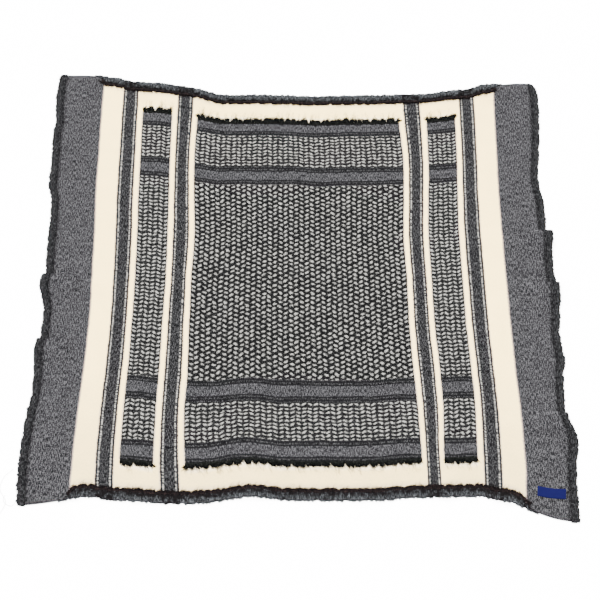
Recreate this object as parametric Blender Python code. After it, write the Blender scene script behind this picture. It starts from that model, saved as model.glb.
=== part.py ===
"""A square woven scarf laid out flat.

One woven panel carries the pattern. A dark selvedge runs down each side, a turned hem closes
each end, and rows of cut floats lie where the black threads of the pattern end. A small label
is sewn near one corner.

Metres, +Z up. The cloth has two coordinates of its own, as it was woven: u runs across it and
v along it, both from its middle. surface() lays each (u, v) on the table, with the drift of the
edges, the tucks at the sides and the ripples of the ends, and every piece is made from it.
"""

import math
from typing import NamedTuple

import bmesh
import bpy
import numpy as np


# The square as woven
HALF_WIDTH = 0.574
HALF_LENGTH = 0.488
WALL = 0.0016
SEAM_GAP = 0.00035
SELVEDGE_WIDTH = 0.023
SEAM_LINE = HALF_WIDTH - SELVEDGE_WIDTH

# The pattern's lines across the cloth, from its middle
CENTRE_LINE = 0.2445
INNER_STRIPE = (0.257, 0.290)
COLUMN = (0.3025, 0.372)
OUTER_STRIPE = (0.385, 0.4205)
BORDER_LINE = 0.470

# The pattern's lines along the cloth, from its middle
TOP_FLOAT_LINE = 0.410
BOTTOM_FLOAT_LINE = -0.409

# Turned hems and their black floats
HEM_WIDTH = 0.0175
HEM_HEIGHT = 0.0032
HEM_LEG = 0.0022
HEM_TAPER = 0.014
HEM_TAPER_SHARE = 0.4
HEM_UNDERCUT = 0.0004
# How the roll swells along a hem: share of its height, radians for each metre, phase
HEM_SWELLS = ((0.12, 61.0, 0.0), (0.10, 143.0, 1.0))
PANEL_END = HALF_LENGTH - HEM_LEG - SEAM_GAP

# Rows of cut floats: a narrow strip and one lock to each thread group
STRIP_WIDTH = 0.006
STRIP_HEIGHT = 0.0016
TUFT_LENGTH = 0.014
HEM_LOCK_LENGTH = 0.0055
HEM_LOCK_SPACE = 0.0145
LOCK_SPACE = 0.0120
# Shares of a lock's space, of its length and of its lean, and how far it clears the panel
LOCK_WAIST = 0.55
LOCK_LEAN = 0.55
LOCK_LENGTH_SPREAD = 0.3
LOCK_WAIST_LEAN = 0.3
LOCK_LIFT = 0.0001
LOCK_TIP_LIFT = 0.0005

# Label
LABEL_WIDTH = 0.058
LABEL_LENGTH = 0.0205
LABEL_HEIGHT = 0.0009
LABEL_AT = (0.5205, -0.4385)
LABEL_TURN = math.radians(-5.2)
LABEL_STEPS = 8

# How tucks fold: the radius of the wall's middle at each turn, the woven length that feeds one
# on each side, where its upper layer starts and ends its climb before the middle, the shares
# of its reach past which it is closed and at its full overlap, how much its radius grows where
# it opens, the steps of each turn and the least length between them
TUCK_RADIUS = 0.0016
TUCK_SPAN = 0.028
TUCK_CLIMB = (0.058, 0.016)
TUCK_CLOSED_FROM = 0.38
TUCK_FULL_FROM = 0.68
TUCK_OPENING = 1.5
TUCK_TURN_STEPS = 4
TUCK_LEAST = 0.004

CORNER_PULL = 0.22
END_ZONE = (0.430, 0.455)
FLOAT_ZONE = (0.020, 0.010)
# The panel's sections: thread groups across the middle, the line beside which tucks fold,
# the widest step along the cloth and the least one
MIDDLE_GROUPS = (-20, -16, -12, -8, -4, -2, -1, 0, 4, 8, 12, 16, 20)
FOLD_LINE = 0.506
ROW_STEP = 0.060
SHORTEST_ROW = 0.004
SLOPE_STEP = 0.00002


class EndLine(NamedTuple):
    """How far the two ends of the cloth lie from straight, at one line across it."""

    u: float
    top: float
    bottom: float


class WarpDrift(NamedTuple):
    """How far six lines along the cloth lie from straight, at one section."""

    v: float
    left_border: float
    left_column: float
    centre_left: float
    centre_right: float
    right_column: float
    right_border: float


class EdgeDrift(NamedTuple):
    """How far a side edge lies from straight, at one section."""

    v: float
    drift: float


class Corner(NamedTuple):
    """A rounded corner: its side, its end and how far the rounding reaches."""

    side: int
    end: int
    reach: float


class Tuck(NamedTuple):
    """A flat Z-fold at a side edge, the lower part over the upper one."""

    side: int
    v: float
    overlap: float
    reach: float


class Ripple(NamedTuple):
    """A low wave across a hem, at one end of the cloth."""

    end: int
    u: float
    half_width: float
    height: float


class Crease(NamedTuple):
    """A soft ridge along a straight line on the cloth."""

    u0: float
    v0: float
    u1: float
    v1: float
    half_width: float
    height: float


END_LINES = (
    EndLine(-0.574, 0.057, -0.011),
    EndLine(-0.540, 0.056, -0.008),
    EndLine(-0.490, 0.053, -0.001),
    EndLine(-0.440, 0.047, 0.009),
    EndLine(-0.390, 0.033, 0.003),
    EndLine(-0.340, 0.032, 0.000),
    EndLine(-0.290, 0.023, -0.004),
    EndLine(-0.240, 0.012, -0.005),
    EndLine(-0.180, -0.002, 0.000),
    EndLine(-0.110, -0.003, 0.009),
    EndLine(-0.040, -0.003, 0.002),
    EndLine(0.050, -0.007, 0.001),
    EndLine(0.140, -0.004, 0.001),
    EndLine(0.220, -0.003, 0.007),
    EndLine(0.300, 0.001, 0.008),
    EndLine(0.370, 0.009, 0.010),
    EndLine(0.410, 0.015, 0.002),
    EndLine(0.440, 0.024, -0.003),
    EndLine(0.480, 0.028, -0.021),
    EndLine(0.530, 0.033, -0.038),
    EndLine(0.574, 0.033, -0.045),
)

WARP_DRIFTS = (
    WarpDrift(-0.488, 0.003, 0.011, 0.020, 0.014, 0.003, -0.002),
    WarpDrift(-0.440, 0.001, 0.005, 0.0135, 0.015, 0.003, 0.001),
    WarpDrift(-0.400, 0.001, 0.002, 0.010, 0.0145, 0.0025, 0.004),
    WarpDrift(-0.300, 0.004, 0.0015, 0.004, 0.011, 0.0065, 0.0035),
    WarpDrift(-0.200, 0.009, 0.004, 0.007, 0.005, 0.0035, 0.000),
    WarpDrift(-0.100, 0.011, 0.005, 0.006, 0.0005, -0.002, -0.002),
    WarpDrift(0.000, 0.008, 0.007, 0.006, 0.000, -0.003, -0.003),
    WarpDrift(0.100, 0.005, 0.0055, 0.009, -0.003, -0.0045, -0.0035),
    WarpDrift(0.200, 0.000, 0.003, 0.004, 0.001, 0.000, -0.003),
    WarpDrift(0.300, -0.001, 0.001, 0.000, 0.004, 0.005, 0.000),
    WarpDrift(0.400, -0.003, 0.000, 0.003, -0.002, 0.006, 0.003),
    WarpDrift(0.488, -0.003, -0.001, 0.005, -0.006, 0.003, 0.006),
)

LEFT_EDGE = (
    EdgeDrift(-0.488, -0.001),
    EdgeDrift(-0.400, -0.006),
    EdgeDrift(-0.310, -0.001),
    EdgeDrift(-0.260, 0.006),
    EdgeDrift(-0.215, 0.005),
    EdgeDrift(-0.188, 0.002),
    EdgeDrift(-0.175, 0.003),
    EdgeDrift(-0.165, 0.005),
    EdgeDrift(-0.1575, 0.0075),
    EdgeDrift(-0.1525, 0.011),
    EdgeDrift(-0.090, 0.012),
    EdgeDrift(-0.050, 0.003),
    EdgeDrift(-0.036, -0.001),
    EdgeDrift(-0.025, 0.001),
    EdgeDrift(-0.017, 0.005),
    EdgeDrift(-0.011, 0.010),
    EdgeDrift(0.030, 0.005),
    EdgeDrift(0.110, 0.005),
    EdgeDrift(0.170, 0.002),
    EdgeDrift(0.205, -0.007),
    EdgeDrift(0.260, -0.007),
    EdgeDrift(0.340, -0.010),
    EdgeDrift(0.352, -0.006),
    EdgeDrift(0.420, -0.012),
    EdgeDrift(0.488, -0.008),
)

RIGHT_EDGE = (
    EdgeDrift(-0.488, -0.0005),
    EdgeDrift(-0.380, 0.0045),
    EdgeDrift(-0.330, 0.014),
    EdgeDrift(-0.321, 0.0125),
    EdgeDrift(-0.312, 0.009),
    EdgeDrift(-0.304, 0.005),
    EdgeDrift(-0.298, 0.0005),
    EdgeDrift(-0.294, -0.002),
    EdgeDrift(-0.286, -0.004),
    EdgeDrift(-0.278, -0.0065),
    EdgeDrift(-0.200, -0.0015),
    EdgeDrift(-0.165, 0.0045),
    EdgeDrift(-0.120, -0.0005),
    EdgeDrift(-0.060, 0.0055),
    EdgeDrift(-0.006, 0.0095),
    EdgeDrift(-0.002, 0.006),
    EdgeDrift(0.010, 0.0035),
    EdgeDrift(0.030, 0.0015),
    EdgeDrift(0.070, 0.0025),
    EdgeDrift(0.106, 0.0065),
    EdgeDrift(0.114, -0.0065),
    EdgeDrift(0.170, -0.0045),
    EdgeDrift(0.240, -0.0125),
    EdgeDrift(0.300, -0.0045),
    EdgeDrift(0.430, 0.0075),
    EdgeDrift(0.488, 0.0055),
)

CORNERS = (
    Corner(-1, 1, 0.010),
    Corner(1, 1, 0.030),
    Corner(-1, -1, 0.014),
    Corner(1, -1, 0.012),
)

TUCKS = (
    Tuck(1, 0.110, 0.014, 0.095),
    Tuck(1, -0.004, 0.005, 0.080),
    Tuck(-1, -0.014, 0.010, 0.090),
    Tuck(-1, -0.155, 0.007, 0.080),
    Tuck(1, -0.282, 0.012, 0.095),
)

RIPPLES = (
    Ripple(1, -0.500, 0.045, 0.0025),
    Ripple(1, -0.385, 0.040, 0.0040),
    Ripple(1, -0.255, 0.050, 0.0035),
    Ripple(1, -0.110, 0.060, 0.0020),
    Ripple(1, 0.075, 0.055, 0.0025),
    Ripple(1, 0.235, 0.060, 0.0015),
    Ripple(1, 0.360, 0.045, 0.0030),
    Ripple(1, 0.455, 0.040, 0.0040),
    Ripple(-1, -0.470, 0.050, 0.0020),
    Ripple(-1, -0.330, 0.060, 0.0015),
    Ripple(-1, -0.110, 0.050, 0.0035),
    Ripple(-1, 0.110, 0.060, 0.0015),
    Ripple(-1, 0.300, 0.055, 0.0030),
    Ripple(-1, 0.425, 0.040, 0.0035),
)

CREASES = (
    Crease(-0.012, 0.360, -0.012, -0.330, 0.030, 0.0016),
    Crease(0.480, 0.092, 0.350, 0.077, 0.030, 0.0018),
    Crease(-0.490, -0.035, -0.390, -0.045, 0.030, 0.0016),
    Crease(0.500, -0.314, 0.430, -0.334, 0.030, 0.0016),
    Crease(-0.520, 0.330, -0.440, 0.300, 0.035, 0.0015),
    Crease(0.525, 0.330, 0.500, 0.220, 0.035, 0.0018),
    Crease(-0.150, 0.300, -0.130, 0.120, 0.045, 0.0010),
    Crease(0.180, -0.080, 0.200, -0.240, 0.045, 0.0010),
)


def ease(x):
    """Smooth step from 0 to 1 as x goes from 0 to 1."""
    x = np.clip(x, 0.0, 1.0)
    return x * x * (3.0 - 2.0 * x)


def through(x, rows, column):
    """Smooth curve through one column of a table, which never overshoots its rows."""
    marks = np.array([row[0] for row in rows])
    values = np.array([getattr(row, column) for row in rows])
    step = np.diff(marks)
    slope = np.diff(values) / step
    same_way = slope[:-1] * slope[1:] > 0
    both = np.where(same_way, slope[:-1] + slope[1:], 1.0)
    inner = np.where(same_way, 2 * slope[:-1] * slope[1:] / both, 0)
    tangent = np.concatenate(([slope[0]], inner, [slope[-1]]))
    x = np.clip(x, marks[0], marks[-1])
    k = np.clip(np.searchsorted(marks, x, side="right") - 1, 0, len(step) - 1)
    t = (x - marks[k]) / step[k]
    rise = ease(t)
    bend = step[k] * (tangent[k] * t * (1 - t) ** 2 - tangent[k + 1] * t * t * (1 - t))
    return values[k] + (values[k + 1] - values[k]) * rise + bend


def rounded(u, v):
    """The woven coordinates, drawn in where a corner of the cloth is rounded."""
    new_u, new_v = u.copy(), v.copy()
    for corner in CORNERS:
        c = np.clip((corner.side * u - HALF_WIDTH) / corner.reach + 1, 0, 1)
        d = np.clip((corner.end * v - HALF_LENGTH) / corner.reach + 1, 0, 1)
        new_u -= corner.side * corner.reach * CORNER_PULL * c * d * d
        new_v -= corner.end * corner.reach * CORNER_PULL * d * c * c
    return new_u, new_v


def drift(u, v):
    """How far a point lies to the right of its straight place."""
    lines = np.array((-HALF_WIDTH, -BORDER_LINE, -COLUMN[0], -CENTRE_LINE))
    lines = np.concatenate((lines, -lines[::-1]))
    drifts = [through(v, LEFT_EDGE, "drift")]
    drifts += [through(v, WARP_DRIFTS, name) for name in WarpDrift._fields[1:]]
    drifts += [through(v, RIGHT_EDGE, "drift")]
    drifts = np.stack(drifts)
    k = np.clip(np.searchsorted(lines, u, side="right") - 1, 0, len(lines) - 2)
    share = np.clip((u - lines[k]) / (lines[k + 1] - lines[k]), 0, 1)
    low = np.take_along_axis(drifts, k[None], 0)[0]
    high = np.take_along_axis(drifts, k[None] + 1, 0)[0]
    return low + (high - low) * share


def end_rise(u, v):
    """How far a point lies above its straight place, shared out between the two end lines."""
    share = (v + HALF_LENGTH) / (2 * HALF_LENGTH)
    return share * through(u, END_LINES, "top") + (1 - share) * through(u, END_LINES, "bottom")


def tuck_form(tuck, u):
    """A tuck's middle layer, its turns' angle and radius and the cloth it takes, at one line."""
    near = np.clip(1 - (HALF_WIDTH - tuck.side * u) / tuck.reach, 0, 1)
    layer = tuck.overlap * ease((near - TUCK_CLOSED_FROM) / (TUCK_FULL_FROM - TUCK_CLOSED_FROM))
    share = ease(near / TUCK_CLOSED_FROM)
    bend = math.pi * share
    radius = TUCK_RADIUS * (1 + TUCK_OPENING * (1 - share) ** 2)
    taken = layer * (1 - np.cos(bend)) + 2 * radius * (bend - np.sin(bend))
    return layer, bend, radius, taken


def tuck_fold(tuck, u, v):
    """How far a tuck carries a point along the cloth and up.

    The section is a Z of two round turns with a straight layer between them. Its upper layer
    climbs gently beforehand, and its lower layer lies on the table.
    """
    layer, bend, radius, taken = tuck_form(tuck, u)
    away = np.abs(v - tuck.v)
    arc = away + taken / 2 * np.minimum(away / TUCK_SPAN, 1)
    straight = np.minimum(arc, layer / 2)
    turned = np.minimum(np.maximum(arc - layer / 2, 0) / radius, bend)
    beyond = np.maximum(arc - layer / 2 - radius * bend, 0)
    along = straight * np.cos(bend) + radius * (np.sin(bend) - np.sin(bend - turned)) + beyond
    down = straight * np.sin(bend) + radius * (np.cos(bend - turned) - np.cos(bend))
    way = np.sign(v - tuck.v)
    rise = layer * np.sin(bend) + 2 * radius * (1 - np.cos(bend))
    climb = ease((way * along + TUCK_CLIMB[0]) / (TUCK_CLIMB[0] - TUCK_CLIMB[1]))
    return way * (along - away), rise / 2 - way * down - rise * (1 - climb)


def ripple_height(ripple, u, v):
    """Height of a wave across a hem, steady under the hem and gone just inside it."""
    across = np.clip(1 - ((u - ripple.u) / ripple.half_width) ** 2, 0, 1) ** 2
    return ripple.height * across * ease((ripple.end * v - END_ZONE[0]) / (END_ZONE[1] - END_ZONE[0]))


def crease_height(crease, u, v):
    """Height of a soft ridge, by the distance to its line."""
    du, dv = crease.u1 - crease.u0, crease.v1 - crease.v0
    along = np.clip(((u - crease.u0) * du + (v - crease.v0) * dv) / (du * du + dv * dv), 0, 1)
    far = np.hypot(u - crease.u0 - along * du, v - crease.v0 - along * dv)
    return crease.height * np.clip(1 - (far / crease.half_width) ** 2, 0, 1) ** 2


def surface(u, v):
    """The middle of the cloth's wall at (u, v), as an array of points."""
    u, v = np.broadcast_arrays(np.asarray(u, float), np.asarray(v, float))
    near_u, near_v = rounded(u, v)
    x = near_u + drift(near_u, near_v)
    y = near_v + end_rise(near_u, near_v)
    z = np.full(x.shape, WALL / 2)
    for tuck in TUCKS:
        forward, up = tuck_fold(tuck, u, v)
        y = y + forward
        z = z + up
    for ripple in RIPPLES:
        z = z + ripple_height(ripple, u, v)
    for crease in CREASES:
        z = z + crease_height(crease, u, v)
    return np.stack((x, y, z), axis=-1)


def normal(u, v):
    """The upward normal of the cloth at (u, v)."""
    u, v = np.broadcast_arrays(np.asarray(u, float), np.asarray(v, float))
    along_u = surface(u + SLOPE_STEP, v) - surface(u - SLOPE_STEP, v)
    along_v = surface(u, v + SLOPE_STEP) - surface(u, v - SLOPE_STEP)
    out = np.cross(along_u, along_v)
    return out / np.linalg.norm(out, axis=-1, keepdims=True)


def column_lines():
    """The panel's sections across: the pattern's own lines, with even ones between them."""
    marks = (
        (CENTRE_LINE, 1), (INNER_STRIPE[0], 1), (INNER_STRIPE[1], 1), (COLUMN[0], 2), (COLUMN[1], 1),
        (OUTER_STRIPE[0], 1), (OUTER_STRIPE[1], 2), (BORDER_LINE, 4), (FOLD_LINE, 6),
        (SEAM_LINE - SEAM_GAP / 2, 0),
    )
    side = [CENTRE_LINE]
    for (start, count), (end, _) in zip(marks, marks[1:]):
        side += list(np.linspace(start, end, count + 1)[1:])
    middle = [CENTRE_LINE * group / MIDDLE_GROUPS[-1] for group in MIDDLE_GROUPS[1:-1]]
    return np.array([-u for u in side[::-1]] + middle + side)


def row_lines():
    """The panel's sections along: its ends, the zones of the hems and floats, and even ones."""
    marks = (
        -PANEL_END, -END_ZONE[1], -END_ZONE[0], BOTTOM_FLOAT_LINE - FLOAT_ZONE[0],
        BOTTOM_FLOAT_LINE + FLOAT_ZONE[1], TOP_FLOAT_LINE - FLOAT_ZONE[1],
        TOP_FLOAT_LINE + FLOAT_ZONE[0], END_ZONE[1], PANEL_END,
    )
    rows = [marks[0]]
    for start, end in zip(marks, marks[1:]):
        count = max(1, math.ceil((end - start) / ROW_STEP))
        rows += list(np.linspace(start, end, count + 1)[1:])
    return np.array(rows)


def tuck_rows(tuck, u):
    """The close rows of a tuck on one line along the cloth: its climb, turns and layers."""
    layer, bend, radius, taken = tuck_form(tuck, u)
    turn = max(radius * bend, TUCK_LEAST)
    arc = max(layer, TUCK_LEAST) / 2 + turn * np.linspace(0, 1, TUCK_TURN_STEPS + 1)
    close = np.concatenate((-arc[::-1], [0], arc)) / (1 + taken / (2 * TUCK_SPAN))
    climb = -np.linspace(TUCK_CLIMB[0], TUCK_SPAN, 3)
    return tuck.v + np.concatenate((climb, close, [TUCK_SPAN]))


def line_rows(rows, u):
    """The rows of one line along the cloth: marks that all lines share, and its own places."""
    line = [(v, v) for v in rows]
    for tuck in TUCKS:
        if HALF_WIDTH - tuck.side * u < tuck.reach:
            places = tuck_rows(tuck, u)
            marks = np.linspace(places[0], places[-1], len(places))
            low, high = places[0] - SHORTEST_ROW, places[-1] + SHORTEST_ROW
            line = [row for row in line if not low < row[0] < high] + list(zip(marks, places))
    return sorted(line)


def panel_net(columns, rows):
    """The panel's points in (u, v), its triangles and its rim, with close rows only at tucks."""
    points, lines = [], []
    for u in columns:
        line = line_rows(rows, u)
        lines.append([(mark, len(points) + k) for k, (mark, _) in enumerate(line)])
        points += [(u, place) for _, place in line]
    triangles = [face for left, right in zip(lines, lines[1:]) for face in strip_between(left, right)]
    rim = [line[0][1] for line in lines[:-1]]
    rim += [index for _, index in lines[-1][:-1]]
    rim += [line[-1][1] for line in lines[:0:-1]]
    rim += [index for _, index in lines[0][:0:-1]]
    return np.array(points), triangles, rim


def strip_between(left, right):
    """Triangles between two lines of points, each point given as its mark and its index."""
    faces, i, k = [], 0, 0
    while i < len(left) - 1 or k < len(right) - 1:
        next_left = left[i + 1][0] if i < len(left) - 1 else math.inf
        next_right = right[k + 1][0] if k < len(right) - 1 else math.inf
        a, b = left[i][1], right[k][1]
        if abs(next_left - next_right) < SLOPE_STEP:
            c, d = right[k + 1][1], left[i + 1][1]
            faces += [(a, b, c), (a, c, d)]
            i, k = i + 1, k + 1
        elif next_left < next_right:
            i += 1
            faces.append((a, b, left[i][1]))
        else:
            k += 1
            faces.append((a, b, right[k][1]))
    return faces


class PanelTop:
    """The panel's upper side as its own flat triangles, for the pieces that lie on it."""

    def __init__(self, columns, rows):
        self.columns = columns
        self.rows = rows
        u, v = np.meshgrid(columns, rows, indexing="ij")
        self.points = surface(u, v) + normal(u, v) * WALL / 2

    def at(self, u, v, height):
        """Points at a height over the panel's upper side; a negative height goes below it."""
        u, v = np.broadcast_arrays(np.asarray(u, float), np.asarray(v, float))
        i = np.clip(np.searchsorted(self.columns, u, side="right") - 1, 0, len(self.columns) - 2)
        j = np.clip(np.searchsorted(self.rows, v, side="right") - 1, 0, len(self.rows) - 2)
        s = ((u - self.columns[i]) / (self.columns[i + 1] - self.columns[i]))[..., None]
        t = ((v - self.rows[j]) / (self.rows[j + 1] - self.rows[j]))[..., None]
        a, b = self.points[i, j], self.points[i + 1, j]
        c, d = self.points[i + 1, j + 1], self.points[i, j + 1]
        found = np.where(s >= t, a + s * (b - a) + t * (c - b), a + t * (d - a) + s * (c - d))
        found = found.copy()
        found[..., 2] += height
        return found


def material(name, colour, roughness):
    """A plain cloth finish."""
    made = bpy.data.materials.new(name)
    made.use_nodes = True
    shader = made.node_tree.nodes["Principled BSDF"]
    shader.inputs["Base Color"].default_value = (*colour, 1.0)
    shader.inputs["Roughness"].default_value = roughness
    shader.inputs["Metallic"].default_value = 0.0
    made.diffuse_color = (*colour, 1.0)
    return made


def add_piece(name, vertices, faces, finish, root):
    """A closed mesh with its faces out, as a named object under the scarf's root."""
    mesh = bpy.data.meshes.new(name)
    mesh.from_pydata([tuple(map(float, p)) for p in vertices], [], faces)
    work = bmesh.new()
    work.from_mesh(mesh)
    bmesh.ops.recalc_face_normals(work, faces=work.faces)
    work.to_mesh(mesh)
    work.free()
    mesh.shade_smooth()
    mesh.set_sharp_from_angle(angle=math.radians(50))
    mesh.materials.append(finish)
    made = bpy.data.objects.new(name, mesh)
    bpy.context.scene.collection.objects.link(made)
    made.parent = root
    return made


def swept(sections):
    """Vertices and faces of a closed profile carried along stations, closed at both ends."""
    count, around = sections.shape[:2]
    index = np.arange(count * around).reshape(count, around)
    faces = []
    for near, far in zip(index, index[1:]):
        for k in range(around):
            after = (k + 1) % around
            faces.append((int(near[k]), int(near[after]), int(far[after]), int(far[k])))
    faces.append(tuple(int(k) for k in index[0][::-1]))
    faces.append(tuple(int(k) for k in index[-1]))
    return sections.reshape(-1, 3), faces


def make_panel(columns, rows, finish, root):
    """The woven panel: a closed wall on both sides of the cloth's middle."""
    net, triangles, rim = panel_net(columns, rows)
    middle = surface(net[:, 0], net[:, 1])
    out = normal(net[:, 0], net[:, 1]) * WALL / 2
    count = len(net)
    faces = list(triangles)
    faces += [tuple(count + k for k in reversed(face)) for face in triangles]
    faces += [(b, a, count + a, count + b) for a, b in zip(rim, rim[1:] + rim[:1])]
    return add_piece("cloth", np.concatenate((middle + out, middle - out)), faces, finish, root)


def make_selvedge(name, side, rows, finish, root):
    """A woven edge beside the panel, a little thicker in its middle and round outside."""
    seam, edge = SEAM_LINE + SEAM_GAP / 2, HALF_WIDTH
    width = edge - seam
    # Share of the width from the seam, height over the cloth's underside
    profile = np.array((
        (0.00, 0.0000), (0.97, 0.0000), (1.00, 0.0007), (0.98, 0.0015),
        (0.75, 0.0020), (0.35, 0.0019), (0.00, 0.0016),
    ))
    u = side * (seam + width * profile[:, 0])[None, :]
    v = np.array([[place for _, place in line_rows(rows, place_u)] for place_u in u[0]]).T
    lifted = surface(u, v) + normal(u, v) * (profile[:, 1] - WALL / 2)[None, :, None]
    return add_piece(name, *swept(lifted), finish, root)


def make_hem(name, end, columns, top, finish, root):
    """A turned hem: a leg down in front of the panel's end and a full roll over it."""
    inside = columns[np.abs(columns) <= BORDER_LINE + SLOPE_STEP]
    stations = np.unique(np.concatenate((inside, (inside[1:] + inside[:-1]) / 2)))
    taper = ease((BORDER_LINE - np.abs(stations)) / HEM_TAPER)
    taper = HEM_TAPER_SHARE + (1 - HEM_TAPER_SHARE) * taper
    # Share of the hem's width from its outer edge, share of its height over the panel
    roll = np.array(((0.0, 0.1), (0.03, 0.5), (0.17, 0.9), (0.45, 1.0), (0.75, 0.8), (1.0, 0.4)))
    swell = 1 + sum(share * np.sin(stations * pace + phase) for share, pace, phase in HEM_SWELLS)
    over = SEAM_GAP + HEM_HEIGHT * roll[None, :, 1] * (taper * swell)[:, None]
    out = HEM_WIDTH * roll[None, :, 0] * taper[:, None]
    count = (len(stations), 1)
    inner = (HEM_WIDTH * taper)[:, None]
    leg = np.full(count, HEM_LEG)
    out = np.hstack((np.full(count, HEM_UNDERCUT), out, inner, leg, leg))
    over = np.hstack((
        np.full(count, -WALL), over, np.full(count, SEAM_GAP), np.full(count, SEAM_GAP),
        np.full(count, -WALL),
    ))
    points = top.at(stations[:, None], end * (HALF_LENGTH - out), over)
    return add_piece(name, *swept(points), finish, root)


def lock_edges(columns, low, high, lock_space):
    """The edges of the locks of a row: the panel's own lines, each space split evenly."""
    inside = columns[(columns >= low - SLOPE_STEP) & (columns <= high + SLOPE_STEP)]
    edges = [inside[0]]
    for start, end in zip(inside, inside[1:]):
        count = max(1, round((end - start) / lock_space))
        edges += list(np.linspace(start, end, count + 1)[1:])
    return np.array(edges)


def make_float_row(name, edges, root_line, way, length, top, finish, root, seed):
    """A row of cut floats: a narrow strip on the panel, with a tapered lock to each space."""
    rng = np.random.default_rng(seed)
    count = len(edges) - 1
    low, high = SEAM_GAP, SEAM_GAP + STRIP_HEIGHT
    back = root_line - way * STRIP_WIDTH
    ring = np.array(((back, low), (back, high * 0.8), (root_line, high), (root_line, low)))
    strip = top.at(edges[:, None], ring[None, :, 0], np.broadcast_to(ring[None, :, 1], (count + 1, 4)))
    middle = (edges[1:] + edges[:-1]) / 2
    space = edges[1:] - edges[:-1]
    lengths = length * rng.uniform(1 - LOCK_LENGTH_SPREAD, 1 + LOCK_LENGTH_SPREAD, count)
    lean = space * rng.uniform(-LOCK_LEAN, LOCK_LEAN, count)
    half_waist = space[:, None] * LOCK_WAIST / 2 * np.array((-1, 1, 1, -1))
    waist_u = (middle + lean * LOCK_WAIST_LEAN)[:, None] + half_waist
    waist_v = np.repeat((root_line + way * lengths / 2)[:, None], 4, axis=1)
    waist_h = np.broadcast_to(np.array((low + LOCK_LIFT, low + LOCK_LIFT, high, high)), (count, 4))
    waists = top.at(waist_u, waist_v, waist_h)
    tips = top.at(middle + lean, root_line + way * lengths, np.full(count, low + LOCK_TIP_LIFT))
    vertices = np.concatenate((strip.reshape(-1, 3), waists.reshape(-1, 3), tips))
    at_waist = 4 * (count + 1)
    at_tip = at_waist + 4 * count
    faces = [(0, 1, 2, 3), tuple(4 * count + k for k in (3, 2, 1, 0))]
    for k in range(count):
        a, b = 4 * k, 4 * k + 4
        faces += [(a, b, b + 1, a + 1), (a + 1, b + 1, b + 2, a + 2), (a + 3, b + 3, b, a)]
        lock_root = (a + 3, b + 3, b + 2, a + 2)
        waist = [at_waist + 4 * k + n for n in range(4)]
        for n in range(4):
            after = (n + 1) % 4
            faces.append((lock_root[n], lock_root[after], waist[after], waist[n]))
            faces.append((waist[n], waist[after], at_tip + k))
    return add_piece(name, vertices, faces, finish, root)


def make_label(top, finish, root):
    """A woven label lying on the panel, square to itself however the cloth has drifted."""
    centre = np.array(LABEL_AT)
    near = LABEL_LENGTH / 4
    along_u = (top.at(centre[0] + near, centre[1], 0) - top.at(centre[0] - near, centre[1], 0))[:2]
    along_v = (top.at(centre[0], centre[1] + near, 0) - top.at(centre[0], centre[1] - near, 0))[:2]
    woven = np.linalg.inv(np.stack((along_u, along_v), axis=1) / (2 * near))
    across = np.linspace(-LABEL_WIDTH / 2, LABEL_WIDTH / 2, LABEL_STEPS + 1)
    turn = np.array((
        (math.cos(LABEL_TURN), -math.sin(LABEL_TURN)),
        (math.sin(LABEL_TURN), math.cos(LABEL_TURN)),
    ))
    # Share of the label's length, height over the panel
    profile = np.array((
        (-0.5, 0.0), (0.5, 0.0), (0.5, 0.7), (0.46, 1.0), (0.0, 1.0), (-0.46, 1.0), (-0.5, 0.7),
    ))
    lengthwise = (profile[:, 0] * LABEL_LENGTH)[None, :]
    flat = np.stack(np.broadcast_arrays(across[:, None], lengthwise), axis=-1)
    place = centre + flat @ turn.T @ woven.T
    heights = np.broadcast_to(SEAM_GAP + LABEL_HEIGHT * profile[None, :, 1], flat.shape[:2])
    return add_piece("label", *swept(top.at(place[..., 0], place[..., 1], heights)), finish, root)


def stand_at_origin(pieces, root):
    """Move the scarf's root so that the middle of its underside is at the origin."""
    points = np.array([vertex.co for piece in pieces for vertex in piece.data.vertices])
    low, high = points.min(axis=0), points.max(axis=0)
    root.location = (-(low[0] + high[0]) / 2, -(low[1] + high[1]) / 2, -low[2])


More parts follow.
